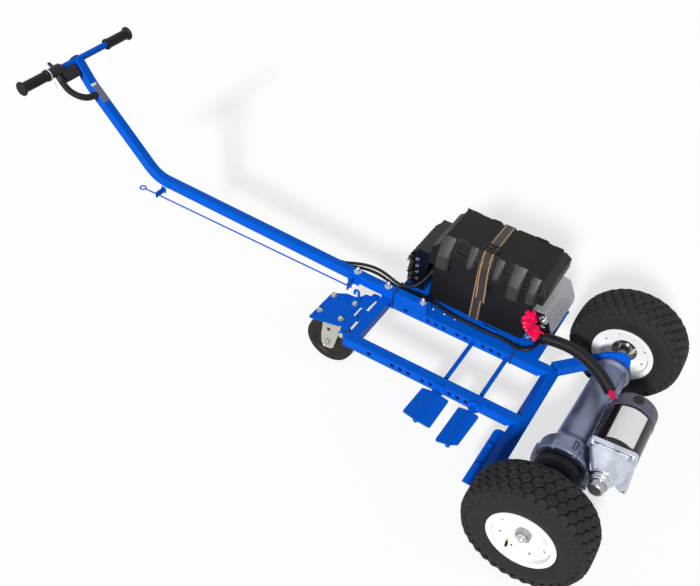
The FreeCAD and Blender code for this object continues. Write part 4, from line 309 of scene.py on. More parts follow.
FINISHES.update({label: dict(colour=colour, shade=0.85, gloss=(0.3, 0.42), grain=900, edge=0.0002)
                 for label, colour in (("cream_wire", (0.62, 0.55, 0.42)), ("white_lead", (0.7, 0.7, 0.68)),
                                       ("blue_lead", (0.05, 0.3, 0.7)), ("yellow_lead", (0.7, 0.5, 0.03)))})

FINISH_OF_SLOT = {
    "frame_blue": "blue_enamel", "black_metal": "black_enamel", "white_metal": "rim_enamel",
    "grey_metal": "grey_enamel", "cast_aluminium": "polished_casting", "zinc": "zinc_plate", "steel": "turned_steel",
    "iron": "rough_iron", "cast_grey": "grey_casting", "silver_grey": "satin_silver", "cable_black": "cable_jacket",
    "tyre": "tread_rubber", "caster_rubber": "caster_tread", "grip_rubber": "grip_foam", "boot_rubber": "boot_skin",
    "black_plastic": "moulded_black", "webbing": "strap_webbing", "battery_case": "moulded_black",
}
FINISH_OF_NODE = {"battery_box": "black_moulding", "battery_lid": "black_moulding"}


def darker(colour, share):
    return tuple(channel * share for channel in colour)


def new_material(name):
    """An empty material, its tree and its shader."""
    made = bpy.data.materials.new(name)
    made.use_nodes = True
    return made, made.node_tree, made.node_tree.nodes["Principled BSDF"]


def finish(name, colour, shade=0.8, gloss=(0.35, 0.5), metal=0.0, patch=6.0, grain=400.0, bump=0.05, depth=0.0004,
           edge=0.0012, worn=None, dust=0.0, dusty=(0.33, 0.29, 0.24), specular=0.5):
    """A finish: its colour drifts by patches, its edges catch the light and may be worn or carry a painted highlight,
    and dust may lie on it.
    """
    made, tree, surface = new_material(name)
    colour = tuple(getattr(colours(), colour) if isinstance(colour, str) else colour)
    drift = group(tree, mottle, {"Patch Scale": patch, "Grain Scale": grain})
    edges = group(tree, worn_edges, {"Radius": edge})
    paint = mixed(tree, drift["Patch"], darker(colour, shade), colour)
    # The edge colour is wear on some finishes and a painted highlight on the black mouldings.
    if worn:
        paint = mixed(tree, edges["Edge"], paint, worn)
    if dust:
        paint = mixed(tree, group(tree, settled_dust, {"Amount": dust})["Dust"], paint, dusty)
    sheen = ramp(tree, drift["Patch"], 0.3, 0.7, *gloss)
    relief = add(tree, "ShaderNodeBump", {"Strength": bump, "Distance": depth, "Height": drift["Grain"],
                                          "Normal": edges["Normal"]}).outputs[0]
    feed(tree, surface, {"Base Color": paint, "Metallic": metal, "Roughness": sheen, "Specular IOR Level": specular,
                         "Normal": relief})
    return made


def strap_webbing():
    """Woven webbing: cross ribs and threads from the band's own map, with a woven stripe near each edge."""
    made, tree, surface = new_material("strap_webbing")
    weave = add(tree, "ShaderNodeUVMap", uv_map="weave").outputs[0]
    across = add(tree, "ShaderNodeSeparateXYZ", (weave,)).outputs[0]
    from_middle = maths(tree, "ABSOLUTE", maths(tree, "SUBTRACT", across, 0.5))
    from_stripe = maths(tree, "ABSOLUTE", maths(tree, "SUBTRACT", from_middle, 0.37))
    inside = maths(tree, "LESS_THAN", from_stripe, sizes().stripe_width / 2)
    stretched = add(tree, "ShaderNodeMapping", {"Vector": weave, "Scale": (1, 160, 1)}).outputs[0]
    rib = add(tree, "ShaderNodeTexWave", (stretched, 0.5, 0.4, 2.0), wave_type="BANDS", bands_direction="Y")
    thread = add(tree, "ShaderNodeTexWave", (weave, 9.0, 0.6, 2.0), wave_type="BANDS", bands_direction="X")
    woven = maths(tree, "MULTIPLY", rib.outputs["Fac"], thread.outputs["Fac"])
    dark = mixed(tree, woven, (0.009, 0.007, 0.007), (0.03, 0.023, 0.022))
    light = mixed(tree, woven, darker(colours().stripe, 0.7), tuple(colours().stripe))
    relief = add(tree, "ShaderNodeBump", {"Strength": 0.5, "Distance": 0.0004, "Height": woven}).outputs[0]
    feed(tree, surface, {"Base Color": mixed(tree, inside, dark, light), "Roughness": 0.75, "Sheen Weight": 0.25,
                         "Normal": relief})
    return made


def look(name):
    """A finish by its name, made the first time that it is asked for."""
    known = bpy.data.materials.get(name)
    if known:
        return known
    return strap_webbing() if name == "strap_webbing" else finish(name, **FINISHES[name])


# ---- mesh makers
def sharpened(bm, angle):
    """Smooth shading with sharp edges where two faces meet at more than an angle."""
    limit = math.radians(angle)
    for face in bm.faces:
        face.smooth = True
    for edge in bm.edges:
        if len(edge.link_faces) == 2 and edge.calc_face_angle(0) > limit:
            edge.smooth = False


def to_mesh(bm, name, angle=32, outwards=True):
    if outwards:
        bmesh.ops.recalc_face_normals(bm, faces=bm.faces)
    sharpened(bm, angle)
    mesh = bpy.data.meshes.new(name)
    bm.to_mesh(mesh)
    bm.free()
    return mesh


def piece(name, mesh, slot, coat=None, body="frame", replaces=()):
    """Puts a finished mesh into the scene, riding on a body and taking its finish from a slot."""
    item = placed(name, mesh)
    mesh.materials.clear()
    mesh.materials.append(look(coat or FINISH_OF_SLOT[slot]))
    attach(item, body)
    if replaces:
        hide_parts(*replaces)
    return item


def shaped(name, bm, slot, coat=None, body="frame", replaces=(), angle=32):
    """A piece from a bmesh."""
    piece(name, to_mesh(bm, name, angle), slot, coat, body, replaces)


def dressed(*nodes):
    """Shows CAD nodes through joined, smooth-shaded copies in their finishes."""
    for node in nodes:
        source = NODES[node].data
        bm = bmesh.new()
        corners = [bm.verts.new(vertex.co) for vertex in source.vertices]
        for polygon in source.polygons:
            try:
                bm.faces.new([corners[i] for i in polygon.vertices])
            except ValueError:       # the same face a second time
                continue
        bmesh.ops.remove_doubles(bm, verts=bm.verts, dist=1e-5)
        mesh = to_mesh(bm, node + "_surface", outwards=False)
        piece(mesh.name, mesh, SLOT_OF[node], FINISH_OF_NODE.get(node), BODY_OF[node], [node])


def skin(bm, rings):
    """Faces from each ring of vertices to the next; a ring may be a single vertex."""
    count = max(len(ring) for ring in rings)
    for low, high in zip(rings, rings[1:]):
        for i in range(count):
            j = (i + 1) % count
            around = (low[i % len(low)], low[j % len(low)], high[j % len(high)], high[i % len(high)])
            corners = list(dict.fromkeys(around))
            if len(corners) > 2:
                bm.faces.new(corners)


def lathe(profile, segments, solid=True, petals=0):
    """A turned shape from (radius, height) points about z; a solid one is closed straight in to the axis.

    A third value in a point is how much of its radius swells in petals.
    """
    if solid:
        ends = [[(0, point[1])] if point[0] else [] for point in (profile[0], profile[-1])]
        profile = [*ends[0], *profile, *ends[1]]
    bm = bmesh.new()
    rings = []
    for radius, height, *wave in profile:
        ring = []
        for number in range(segments if radius else 1):
            turn = 2 * math.pi * number / segments
            swell = radius * (1 + (wave[0] * math.cos(petals * turn) if wave else 0))
            ring.append(bm.verts.new((swell * math.cos(turn), swell * math.sin(turn), height)))
        rings.append(ring)
    skin(bm, rings)
    return bm


def block(length, width, height, bevel, at=(0, 0, 0)):
    """A box with rounded edges, centred on a point."""
    bm = bmesh.new()
    bmesh.ops.create_cube(bm, size=1, matrix=shifted(*at) @ Matrix.Diagonal((length, width, height, 1)))
    bmesh.ops.bevel(bm, geom=bm.edges[:] + bm.verts[:], offset=bevel, segments=2, profile=0.7, affect="EDGES")
    return bm


def moved(bm, place):
    bmesh.ops.transform(bm, matrix=place, verts=bm.verts)
    return bm


def joined(*parts):
    """Several bmeshes as one."""
    whole = bmesh.new()
    for bm in parts:
        mesh = bpy.data.meshes.new("part")
        bm.to_mesh(mesh)
        bm.free()
        whole.from_mesh(mesh)
        bpy.data.meshes.remove(mesh)
    return whole


# ---- geometry-node trees
def geometry_tree(name, inputs):
    """An empty tree that gives a geometry, with a material among its inputs."""
    return new_tree("GeometryNodeTree", name, {**inputs, "Material": ("Material", None)}, {"Geometry": "Geometry"})


def close_tree(tree, given, out, geometry):
    """Ends a tree: copies made real, and the material set."""
    real = add(tree, "GeometryNodeRealizeInstances", (geometry,)).outputs[0]
    paint = add(tree, "GeometryNodeSetMaterial", {"Geometry": real, "Material": given["Material"]})
    feed(tree, out, (paint.outputs[0],))
    return tree


def shape_of(tree, thing):
    """The geometry of an object that is an input."""
    return add(tree, "GeometryNodeObjectInfo", {"Object": thing}, transform_space="ORIGINAL").outputs["Geometry"]


def copied(tree, points, part, turn):
    return add(tree, "GeometryNodeInstanceOnPoints", {"Points": points, "Instance": part, "Rotation": turn}).outputs[0]


def copies_round_axle():
    """Copies of a part round a wheel's axle, z outwards, each tipped towards the wheel's side."""
    tree, given, out = geometry_tree("copies_round_axle", {
        "Part": ("Object", None), "Count": ("Int", 34), "Radius": ("Float", 0.19), "Side": ("Float", 0.0),
        "Phase": ("Float", 0.0), "Tip": ("Float", 0.0)})
    number = add(tree, "GeometryNodeInputIndex").outputs[0]
    step = maths(tree, "DIVIDE", 2 * math.pi, given["Count"])
    turn = maths(tree, "MULTIPLY", maths(tree, "ADD", number, given["Phase"]), step)
    ahead = maths(tree, "MULTIPLY", maths(tree, "SINE", turn), given["Radius"])
    above = maths(tree, "MULTIPLY", maths(tree, "COSINE", turn), given["Radius"])
    spot = add(tree, "ShaderNodeCombineXYZ", (ahead, given["Side"], above)).outputs[0]
    around, tip = (add(tree, "FunctionNodeAxisAngleToRotation", {"Axis": axis, "Angle": angle}).outputs[0]
                   for axis, angle in (((0, 1, 0), turn), ((1, 0, 0), given["Tip"])))
    both = add(tree, "FunctionNodeRotateRotation", {"Rotation": around, "Rotate By": tip}, rotation_space="LOCAL")
    points = add(tree, "GeometryNodePoints", {"Count": given["Count"], "Position": spot}).outputs[0]
    return close_tree(tree, given, out, copied(tree, points, shape_of(tree, given["Part"]), both.outputs[0]))


def copies_on_seats():
    """Copies of a part on a mesh of loose points, z along each point's stored direction."""
    tree, given, out = geometry_tree("copies_on_seats", {"Seats": ("Object", None), "Part": ("Object", None)})
    way = add(tree, "GeometryNodeInputNamedAttribute", {"Name": "facing"}, data_type="FLOAT_VECTOR").outputs[0]
    turn = add(tree, "FunctionNodeAlignRotationToVector", {"Vector": way}, axis="Z").outputs[0]
    seats, part = shape_of(tree, given["Seats"]), shape_of(tree, given["Part"])
    return close_tree(tree, given, out, copied(tree, seats, part, turn))


def rings_on_line():
    """A ringed hose along a line: its radius swells and shrinks once every pitch, which is four steps."""
    tree, given, out = geometry_tree("rings_on_line", {
        "Line": ("Object", None), "Radius": ("Float", 0.01), "Pitch": ("Float", 0.005), "Depth": ("Float", 0.12)})
    curve = add(tree, "GeometryNodeMeshToCurve", (shape_of(tree, given["Line"]),)).outputs[0]
    step = maths(tree, "DIVIDE", given["Pitch"], 4.0)
    even = add(tree, "GeometryNodeResampleCurve", {"Curve": curve, "Length": step}, mode="LENGTH").outputs[0]
    number = add(tree, "GeometryNodeInputIndex").outputs[0]
    wave = maths(tree, "COSINE", maths(tree, "MULTIPLY", number, math.pi / 2))
    dip = maths(tree, "MULTIPLY", maths(tree, "MULTIPLY_ADD", wave, 0.5, 0.5), given["Depth"])
    radius = maths(tree, "MULTIPLY", maths(tree, "SUBTRACT", 1.0, dip), given["Radius"])
    ring = add(tree, "GeometryNodeCurvePrimitiveCircle", {"Resolution": 20, "Radius": 1.0}, mode="RADIUS").outputs[0]
    tube = add(tree, "GeometryNodeCurveToMesh", {"Curve": even, "Scale": radius, "Profile Curve": ring,
                                                 "Fill Caps": True})
    return close_tree(tree, given, out, tube.outputs[0])


def placed(name, data):
    """An object in the scene; one that a tree only copies leaves again once the copies are plain meshes."""
    item = bpy.data.objects.new(name, data)
    bpy.context.scene.collection.objects.link(item)
    return item


def plain_mesh(item):
    """An object's evaluated mesh; the object leaves the scene."""
    graph = bpy.context.evaluated_depsgraph_get()
    graph.update()
    mesh = bpy.data.meshes.new_from_object(item.evaluated_get(graph))
    bpy.data.objects.remove(item)
    return mesh


def evaluated(make, **inputs):
    """The plain mesh that a tree makes from its named inputs."""
    holder = placed("tree_holder", bpy.data.meshes.new("tree_holder"))
    modifier = holder.modifiers.new("tree", "NODES")
    modifier.node_group = kept_tree(make)
    for item in modifier.node_group.interface.items_tree:
        if item.in_out == "INPUT" and item.name.lower() in inputs:
            modifier[item.identifier] = inputs[item.name.lower()]
    return plain_mesh(holder)


def seated(name, part, seats, slot, coat=None, body="frame", replaces=()):
    """A piece made of copies of a part on seats given as (spot, way)."""
    points = bpy.data.meshes.new("seats")
    points.from_pydata([tuple(spot) for spot, way in seats], [], [])
    ways = points.attributes.new("facing", "FLOAT_VECTOR", "POINT")
    for number, (spot, way) in enumerate(seats):
        ways.data[number].vector = way
    holders = placed("seat_points", points), placed("part_shape", to_mesh(part, "part_shape"))
    mesh = evaluated(copies_on_seats, seats=holders[0], part=holders[1], material=look(coat or FINISH_OF_SLOT[slot]))
    for item in holders:
        bpy.data.objects.remove(item)
    piece(name, mesh, slot, coat, body, replaces)


# ---- drive wheels
BEAD_RADIUS = 0.110
TREAD_GAP = 0.0004               # between the blocks' tops and the solid tyre's outline
DISC_INSET = 0.032               # from the rim's edge to its disc
BOLT_RING = 0.046


def tyre_carcass(radius, half):
    """The tyre without its tread: sidewalls with two raised rings, and the belt that the blocks stand on."""
    belt = radius - sizes().tread_rise
    # Each point is how far it lies out from the bead and in from the tyre's side.
    wall = [(-0.012, 0.014), (-0.002, 0.0125), (0.004, 0.007), (0.007, 0.0062), (0.009, 0.0072), (0.013, 0.006),
            (0.022, 0.0025), (0.034, 0.0008), (0.044, 0.0005), (0.053, 0.0022), (0.062, 0.0062), (0.0705, 0.012),
            (0.078, 0.019)]
    side = [(BEAD_RADIUS + out, half - inset) for out, inset in wall]
    side += [(belt - 0.0035, half - 0.030), (belt - 0.0008, half - 0.045), (belt, 0.012)]
    return moved(lathe(side + [(r, -y) for r, y in side[::-1]], 112, solid=False), turned(-90, "X"))


def tread_block(length, width, rise):
    """A rounded six-sided block with a soft top edge and a shallow dish, z up from the belt."""
    bm = bmesh.new()
    turns = [math.radians(60 * number + 30 + lean) for number in range(6) for lean in (-11, 11)]
    reach, spread = length / 1.77, width / 1.96  # of the outline's corners from its middle
    rings = []
    for share, height in ((1.0, -0.003), (0.97, rise * 0.72), (0.87, rise), (0.4, rise), (0.3, rise - 0.0012)):
        rings.append([bm.verts.new((math.cos(turn) * share * reach, math.sin(turn) * share * spread, height))
                      for turn in turns])
    skin(bm, rings)
    bm.faces.new(rings[-1])
    return to_mesh(bm, "tread_block")


def shoulder_lug(length, width, rise):
    """The tapered lug that carries the tread down the tyre's shoulder."""
    bm = block(length, width, rise * 2, 0.0016)
    for vertex in bm.verts:
        if vertex.co.y > 0:
            vertex.co.x *= 0.62
            vertex.co.z -= rise * 0.35
    return to_mesh(bm, "shoulder_lug")


def build_tyre(label, node, body):
    low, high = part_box(node)
    radius, half = (high.z - low.z) / 2, (high.y - low.y) / 2
    tread = sizes()
    belt, spacing = radius - tread.tread_rise, tread.row_spacing
    hexagon = placed("tread_block", tread_block(tread.block_length, spacing * 1.09, tread.tread_rise - TREAD_GAP))
    lug = placed("shoulder_lug", shoulder_lug(0.0185, 0.036, 0.0062))
    rows = [(hexagon, belt, 0.0, 0.0, 0.0)]      # part, distance from the axle, side, phase and tip
    for way in (-1, 1):
        rows.append((hexagon, belt - 0.0008, way * spacing, 0.5, way * -0.06))
        rows.append((hexagon, belt - 0.0078, way * (2 * spacing - 0.0062), 0.0, way * -0.5))
        rows.append((lug, belt - 0.0215, way * (half - 0.0055), 0.5, way * -1.2))
    whole = joined(tyre_carcass(radius, half))
    for part, reach, side, phase, tip in rows:
        mesh = evaluated(copies_round_axle, part=part, count=tread.tread_blocks, radius=reach, side=side, phase=phase,
                         tip=tip, material=look("tread_rubber"))
        whole.from_mesh(mesh)
        bpy.data.meshes.remove(mesh)
    for item in (hexagon, lug):
        bpy.data.objects.remove(item)
    bmesh.ops.translate(whole, vec=centre_of(node), verts=whole.verts)
    for vertex in whole.verts:
        vertex.co.y = min(max(vertex.co.y, low.y), high.y)
    shaped(label, whole, "tyre", body=body, replaces=[node], angle=40)


def wheel_nuts(label, node, body, side):
    """The hub's nut on its washer, the valve stem with its cap and, on the far side, the hub's ring of bolts."""
    centre, way = centre_of(node), (0, side, 0)
    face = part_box(node)[1 if side > 0 else 0].y - side * DISC_INSET
    if side > 0:
        turns = [math.radians(72 * number + 22.5) for number in range(5)]
        seats = [((centre.x + BOLT_RING * math.sin(turn), face, centre.z + BOLT_RING * math.cos(turn)), way)
                 for turn in turns]
        seated(label + "_bolts", hex_head(0.0062, 0.005), seats, "zinc", body=body)
    hub = joined(lathe([(0.007, 0.018), (0.009, 0.016), (0.009, 0.006)], 24),
                 lathe([(0.0155, 0.008), (0.0175, 0.006), (0.0175, 0)], 6))
    place = facing((centre.x, face + side * 0.016, centre.z), way)
    shaped(label + "_hub_nut", moved(hub, place), "zinc", "bright_zinc", body)
    place = facing((centre.x - 0.046, face - side * 0.002, centre.z - 0.058), (0.22, side, 0.3))
    stem = lathe([(0.0065, 0), (0.006, 0.006), (0.0042, 0.01), (0.0042, 0.024)], 16)
    shaped(label + "_valve", moved(stem, place), "zinc", "brass", body)
    cap = lathe([(0.0038, 0.042), (0.005, 0.04), (0.005, 0.0235)], 12)
    shaped(label + "_valve_cap", moved(cap, place), "black_plastic", body=body)


# ---- fasteners, all with z up
def washer(radius, spread, height):
    """The washer of a fastener: its top is spread times the fastener's radius, and its foot a little wider."""
    return lathe([(radius * spread, height), (radius * (spread + 0.06), 0)], 24)


def hex_head(radius, height):
    """A hexagon bolt head on its washer."""
    return joined(lathe([(radius * 0.86, height), (radius, height - 0.0008), (radius, 0)], 6),
                  washer(radius, 1.3, 0.0014))


def dome_nut(radius, height):
    """A domed nut on its washer."""
    skirt = height * 0.42
    return joined(lathe([(0, height), (radius * 0.42, height - radius * 0.1), (radius * 0.68, height - radius * 0.34),
                         (radius * 0.8, height - radius * 0.7), (radius * 0.82, skirt)], 24),
                  lathe([(radius * 0.9, skirt), (radius, skirt - 0.001), (radius, 0.0012)], 6),
                  washer(radius, 1.34, 0.0016))


def button_screw(radius, height):
    """A low domed screw head with a hexagon socket."""
    return lathe([(radius * 0.36, height * 0.35), (radius * 0.4, height),
                  (radius * 0.62, height * 0.9), (radius * 0.86, height * 0.6), (radius, height * 0.12), (radius, 0)],
                 18)


# ---- cords
# Control points of the cords' lines, in millimetres.
CONTROL_ROUTE = [(-7, 197, 312.5), (17, 202, 315), (48, 209, 321), (94, 216, 326), (144, 217, 325), (188, 211, 315),
                 (222, 207, 303), (255, 207, 297), (284, 216, 304), (307, 233, 320), (323, 248, 340),
                 (334, 260.5, 359)]
TRUNK_ROUTE = [(-8, 197, 297.5), (16, 202, 299.5), (47, 209, 304), (92, 214, 307), (142, 214, 305), (186, 209, 295),
               (224, 208, 282), (261, 217, 272), (304, 230, 266), (354, 228, 262), (402, 213, 259), (448, 203, 256),
               (496, 199, 251), (544, 198, 247), (590, 198, 243.5), (635, 200, 239), (679, 199, 235), (717, 189, 234),
               (750, 189, 237), (772, 205, 243), (781, 233, 249), (781, 261.85, 249)]
MOTOR_ROUTE = [(802, 236, 282), (872, 222, 303), (944, 192, 315), (1008, 152, 316), (1056, 116, 311), (1083, 90, 303)]
LOOM_ROUTE = [(-1202, 52, 813.1), (-1185.3, 52, 790.8), (-1169, 60, 769), (-1155, 76, 751), (-1144, 98, 736),
              (-1137, 124, 728), (-1137, 151.45, 728)]
JACKET_RADIUS, CONDUIT_RADIUS, LOOM_RADIUS = 0.006, 0.021, 0.0135
LOOM_PITCH = 0.0048
RING_DEPTH = 0.13                # of a conduit's radius


def smooth_line(name, route, radius=0.0):
    """A NURBS curve whose control points are a route given in millimetres."""
    curve = bpy.data.curves.new(name, "CURVE")
    curve.dimensions = "3D"
    curve.resolution_u = 10
    curve.bevel_depth = radius
    curve.bevel_resolution = 5
    curve.use_fill_caps = True
    spline = curve.splines.new("NURBS")
    spline.points.add(len(route) - 1)
    for point, spot in zip(spline.points, route):
        point.co = (*[value * MM for value in spot], 1)
    spline.order_u = 3
    spline.use_endpoint_u = True
    return curve


def lay_cord(label, node, shape, route, radius, length, stiffness, **path):
    item = piece(label, shape, "cable_black", replaces=[node])


def ringed_hose(label, node, route, radius, pitch, length, stiffness):
    """A corrugated conduit: rings along the route's smooth line."""
    line = plain_mesh(placed(label + "_line", smooth_line(label + "_line", route)))
    path = [tuple(vertex.co) for vertex in line.vertices]
    holder = placed(label + "_line", line)
    mesh = evaluated(rings_on_line, line=holder, radius=radius, pitch=pitch, depth=RING_DEPTH,
                     material=look("cable_jacket"))
    bpy.data.objects.remove(holder)
    for polygon in mesh.polygons:
        polygon.use_smooth = True
    lay_cord(label, node, mesh, route, radius, length, stiffness, path=path)


# ---- battery lid and strap
LID_HALF = 0.1245                # half the lid's width at its side faces
LID_SHOULDER = 0.240             # where those faces start to lean in, above the rails' datum
LID_LEAN = 0.523                 # how far they go in for each length up
# The lid's posts and pillars: start along the rails, width, foot, how far the face stands out, top.
LID_POSTS = ((-0.193, 0.048, 0.181, 0.0, 0.3035), (0.078, 0.048, 0.181, 0.0, 0.3035),
             (-0.086, 0.030, 0.226, -0.0065, 0.3025), (0.016, 0.030, 0.226, -0.0065, 0.2985),
             (0.148, 0.036, 0.192, -0.0035, 0.2895))
STRAP_WIDTH = 0.040
STRAP_ALONG = -0.020             # the strap's middle, from the rails' datum


def lid_post(side, start, width, foot, reach, top):
    """One flared post, thicker at its foot, on the lid's near (-1) or far (1) side."""
    bm = bmesh.new()
    for inset, out in ((0.0, reach), (0.0085, reach + 0.0075)):
        for along in (inset, width - inset):
            for away, above in (((LID_SHOULDER - top) * LID_LEAN + 0.001, top), (0.0045 + out, LID_SHOULDER - 0.002),
                                (0.0055 + out, foot), (-0.010, foot)):
                bm.verts.new(on_rails(start + along, BOX_ACROSS + side * (LID_HALF + away), above))
    bmesh.ops.convex_hull(bm, input=bm.verts)
    bmesh.ops.delete(bm, geom=[vertex for vertex in bm.verts if not vertex.link_faces], context="VERTS")
    bmesh.ops.dissolve_limit(bm, angle_limit=math.radians(1), verts=bm.verts, edges=bm.edges)
    bmesh.ops.bevel(bm, geom=bm.edges[:], offset=0.0016, segments=2, profile=0.6, affect="EDGES")
    return bm


def band(path, thickness, cut=0.0):
    """A flat band along (along, across, above) points in the rails' axes, with a map for its weave.

    The width lies along the rails.  The sign of thickness picks the side of the path that it lies on, and cut is
    how much longer the last end is at one edge than at the other.
    """
    bm = bmesh.new()
    weave = bm.loops.layers.uv.new("weave")
    rows, lengths = [], [0.0]
    for a, b in zip(path, path[1:]):
        lengths.append(lengths[-1] + (b - a).length)
    for i, spot in enumerate(path):
        way = (path[min(i + 1, len(path) - 1)] - path[max(i - 1, 0)]).normalized()
        out = Vector((1, 0, 0)).cross(way).normalized()
        slant = cut if i == len(path) - 1 else 0
        row = []
        for corner in range(10):     # five places across the width, each with its lower and upper face
            share, level = corner // 2 / 4, corner % 2
            crown = 0.0003 * (1 - (2 * share - 1) ** 2)
            point = spot + Vector(((share - 0.5) * STRAP_WIDTH, 0, 0)) + out * (level * thickness + crown)
            row.append(bm.verts.new(on_rails(*(point + way * slant * share))))
        rows.append(row)
    strips = [(2 * k + level, 2 * k + level + 2) for level in (0, 1) for k in range(4)] + [(0, 1), (8, 9)]
    for low, high, start, end in zip(rows, rows[1:], lengths, lengths[1:]):
        for a, b in strips:
            left, right = a // 2 / 4, b // 2 / 4
            face = bm.faces.new((low[a], low[b], high[b], high[a]))
            for loop, place in zip(face.loops, ((left, start), (right, start), (right, end), (left, end))):
                loop[weave].uv = place
    for row, end in ((rows[0], lengths[0]), (rows[-1], lengths[-1])):
        for k in range(0, 8, 2):
            for loop in bm.faces.new((row[k], row[k + 2], row[k + 3], row[k + 1])).loops:
                loop[weave].uv = (0.5, end)
    return bm


def rounded_path(points, step=0.006):
    """A line through (across, above, corner radius) points with its corners rounded and its runs divided."""
    flat = [Vector((p[0], p[1])) for p in points]
    made = [flat[0]]
    for i in range(1, len(flat) - 1):
        radius = points[i][2]
        before, after = (flat[i - 1] - flat[i]).normalized(), (flat[i + 1] - flat[i]).normalized()
        half = before.angle(after) / 2
        reach = radius / math.tan(half)
        centre = flat[i] + (before + after).normalized() * (radius / math.sin(half))
        start, end = flat[i] + before * reach, flat[i] + after * reach
        for k in range(7):
            ray = (start - centre).lerp(end - centre, k / 6)
            made.append(centre + ray.normalized() * radius)
    made.append(flat[-1])
    divided = [made[0]]
    for a, b in zip(made, made[1:]):
        count = max(1, int((b - a).length / step))
        divided += [a.lerp(b, (k + 1) / count) for k in range(count)]
    return divided


# ---- operators
class DressFrame(bpy.types.Operator):
    """Enamel the rails, cross pieces, arms, brackets and step plate."""
    bl_idname = "tug.dress_frame"
    bl_label = "Frame steelwork"

    def execute(self, context):
        dressed("near_rail", "far_rail", "rear_cross_tube", "front_cross_angle", "near_step_plate", "far_axle_arm",
                "near_axle_arm", "far_axle_bracket", "near_axle_bracket", "battery_tray")
        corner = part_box("near_step_plate")[0]
        seats = [((corner.x + 0.016, across, corner.z + 0.0095), RAILS_UP) for across in (-0.205, -0.300)]
        seated("step_plate_bolts", hex_head(0.0085, 0.006), seats, "frame_blue")
        return {"FINISHED"}


class DressHandle(bpy.types.Operator):
    """Finish the handle, its crossbar, grips, throttle, pull rod and guides."""
    bl_idname = "tug.dress_handle"
    bl_label = "Handle"

    def execute(self, context):
        dressed("handle_tube", "handle_crossbar", "near_grip", "far_grip", "throttle_clamp", "throttle_housing",
                "pull_rod", "rod_guides")
        bar, grip = centre_of("handle_crossbar"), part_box("near_grip")[1]
        ring = lathe([(0.0245, 0.0), (0.0262, 0.0008), (0.0262, 0.0042), (0.0245, 0.005), (0.0175, 0.005),
                      (0.0175, 0.0), (0.0245, 0.0)], 48, solid=False)
        place = shifted(bar.x, grip.y + 0.001, bar.z) @ turned(-90, "X")
        shaped("throttle_ring", moved(ring, place), "zinc", "bright_zinc")
        seat = shifted(bar.x + 0.012, 0.104, bar.z - 0.026) @ turned(-34, "Y")
        box = joined(block(0.040, 0.074, 0.046, 0.008),
                     block(0.030, 0.060, 0.006, 0.002, (0, 0, -0.0255)),
                     block(0.046, 0.012, 0.050, 0.004, (0, 0.026, 0)))
        shaped("switch_box", moved(box, seat), "black_plastic")
        plate = lathe([(0.019, 0.012), (0.0215, 0.0095), (0.0215, 0)], 40)
        bmesh.ops.scale(plate, vec=(1.3, 0.92, 1), verts=plate.verts)
        back = facing((bar.x - 0.0125, 0.1705, bar.z - 0.006), (-0.8, 0, 0.6))
        shaped("handle_end_cap", moved(plate, back), "black_plastic")
        wire = lathe([(0.0011, 0), (0.0011, 0.027)], 8)
        seats = [((bar.x - 0.018, grip.y + 0.022, bar.z - 0.004), (-0.85, 0.3, 0.5)),
                 ((bar.x + 0.010, grip.y + 0.020, bar.z - 0.030), (0.5, -0.2, -0.7)),
                 ((bar.x + 0.014, grip.y + 0.034, bar.z - 0.032), (0.7, 0.1, -0.6))]
        seated("switch_wire_ends", wire, seats, "cable_black", "cream_wire")
        return {"FINISHED"}


class DressCaster(bpy.types.Operator):
    """Finish the folding plate, its hinge and the swivel caster."""
    bl_idname = "tug.dress_caster"
    bl_label = "Folding caster"

    def execute(self, context):
        dressed("hinge_lugs", "hinge_pin", "folding_plate", "caster_top_plate", "caster_fork", "caster_axle",
                "caster_wheel", "caster_bolts")
        low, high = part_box("caster_bolts")
        inset = 0.0085
        seats = [((x, y, high.z), (0, 0, 1)) for x in (low.x + inset, high.x - inset)
                 for y in (low.y + inset, high.y - inset)]
        seated("caster_plate_nuts", hex_head(0.0058, 0.006), seats, "zinc", body="caster_fold")
        low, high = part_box("caster_axle")
        hub = (low + high) / 2
        ends = [((hub.x, edge, hub.z), (0, side, 0)) for edge, side in ((high.y, 1), (low.y, -1))]
        seated("caster_axle_nuts", dome_nut(0.0082, 0.011), ends, "zinc", "bright_zinc", "caster_swivel")
        # Thin black plates on the fork's cheeks are painted shade: they stand for the dark inside of its square holes.
        low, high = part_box("caster_fork")
        hole_shade_plates = joined(*[block(0.0135, 0.0012, 0.0135, 0.0004, (hub.x + 0.010, edge, hub.z + 0.072))
                         for edge in (low.y, high.y)])
        shaped("fork_square_holes", hole_shade_plates, "black_plastic", body="caster_swivel")
        return {"FINISHED"}


class DressFingers(bpy.types.Operator):
    """Enamel the two lifting fingers."""
    bl_idname = "tug.dress_fingers"
    bl_label = "Lifting fingers"

    def execute(self, context):
        dressed("rear_finger", "front_finger")
        return {"FINISHED"}


class DressDrive(bpy.types.Operator):
    """Finish the transaxle castings, brake drum, motor and its cap."""
    bl_idname = "tug.dress_drive"
    bl_label = "Drive unit"

    def execute(self, context):
        dressed("axle_housing", "gear_case", "brake_drum", "stub_housing", "motor_can", "motor_end_cap",
                "pinion_housing", "nose_cap", "near_axle_shaft", "far_axle_shaft")
        # The dark plug on top of the motor's cap, bent to the cap's curve.
        start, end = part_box("motor_can")[1].y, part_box("motor_end_cap")[1].y - 0.005
        plug = lathe([(0.006, 0.0003), (0.012, 0.0003), (0.0165, 0.0003), (0.0172, 0.0010), (0.0184, 0.0009),
                      (0.0188, -0.0016)], 48)
        for vertex in plug.verts:
            vertex.co.z = math.sqrt((MOTOR_RADIUS + vertex.co.z) ** 2 - vertex.co.x ** 2)
        place = shifted(MOTOR_AXIS.x, (start + end) / 2, MOTOR_AXIS.z) @ turned(4, "Y")
        shaped("motor_vent_plug", moved(plug, place), "black_plastic")
        return {"FINISHED"}


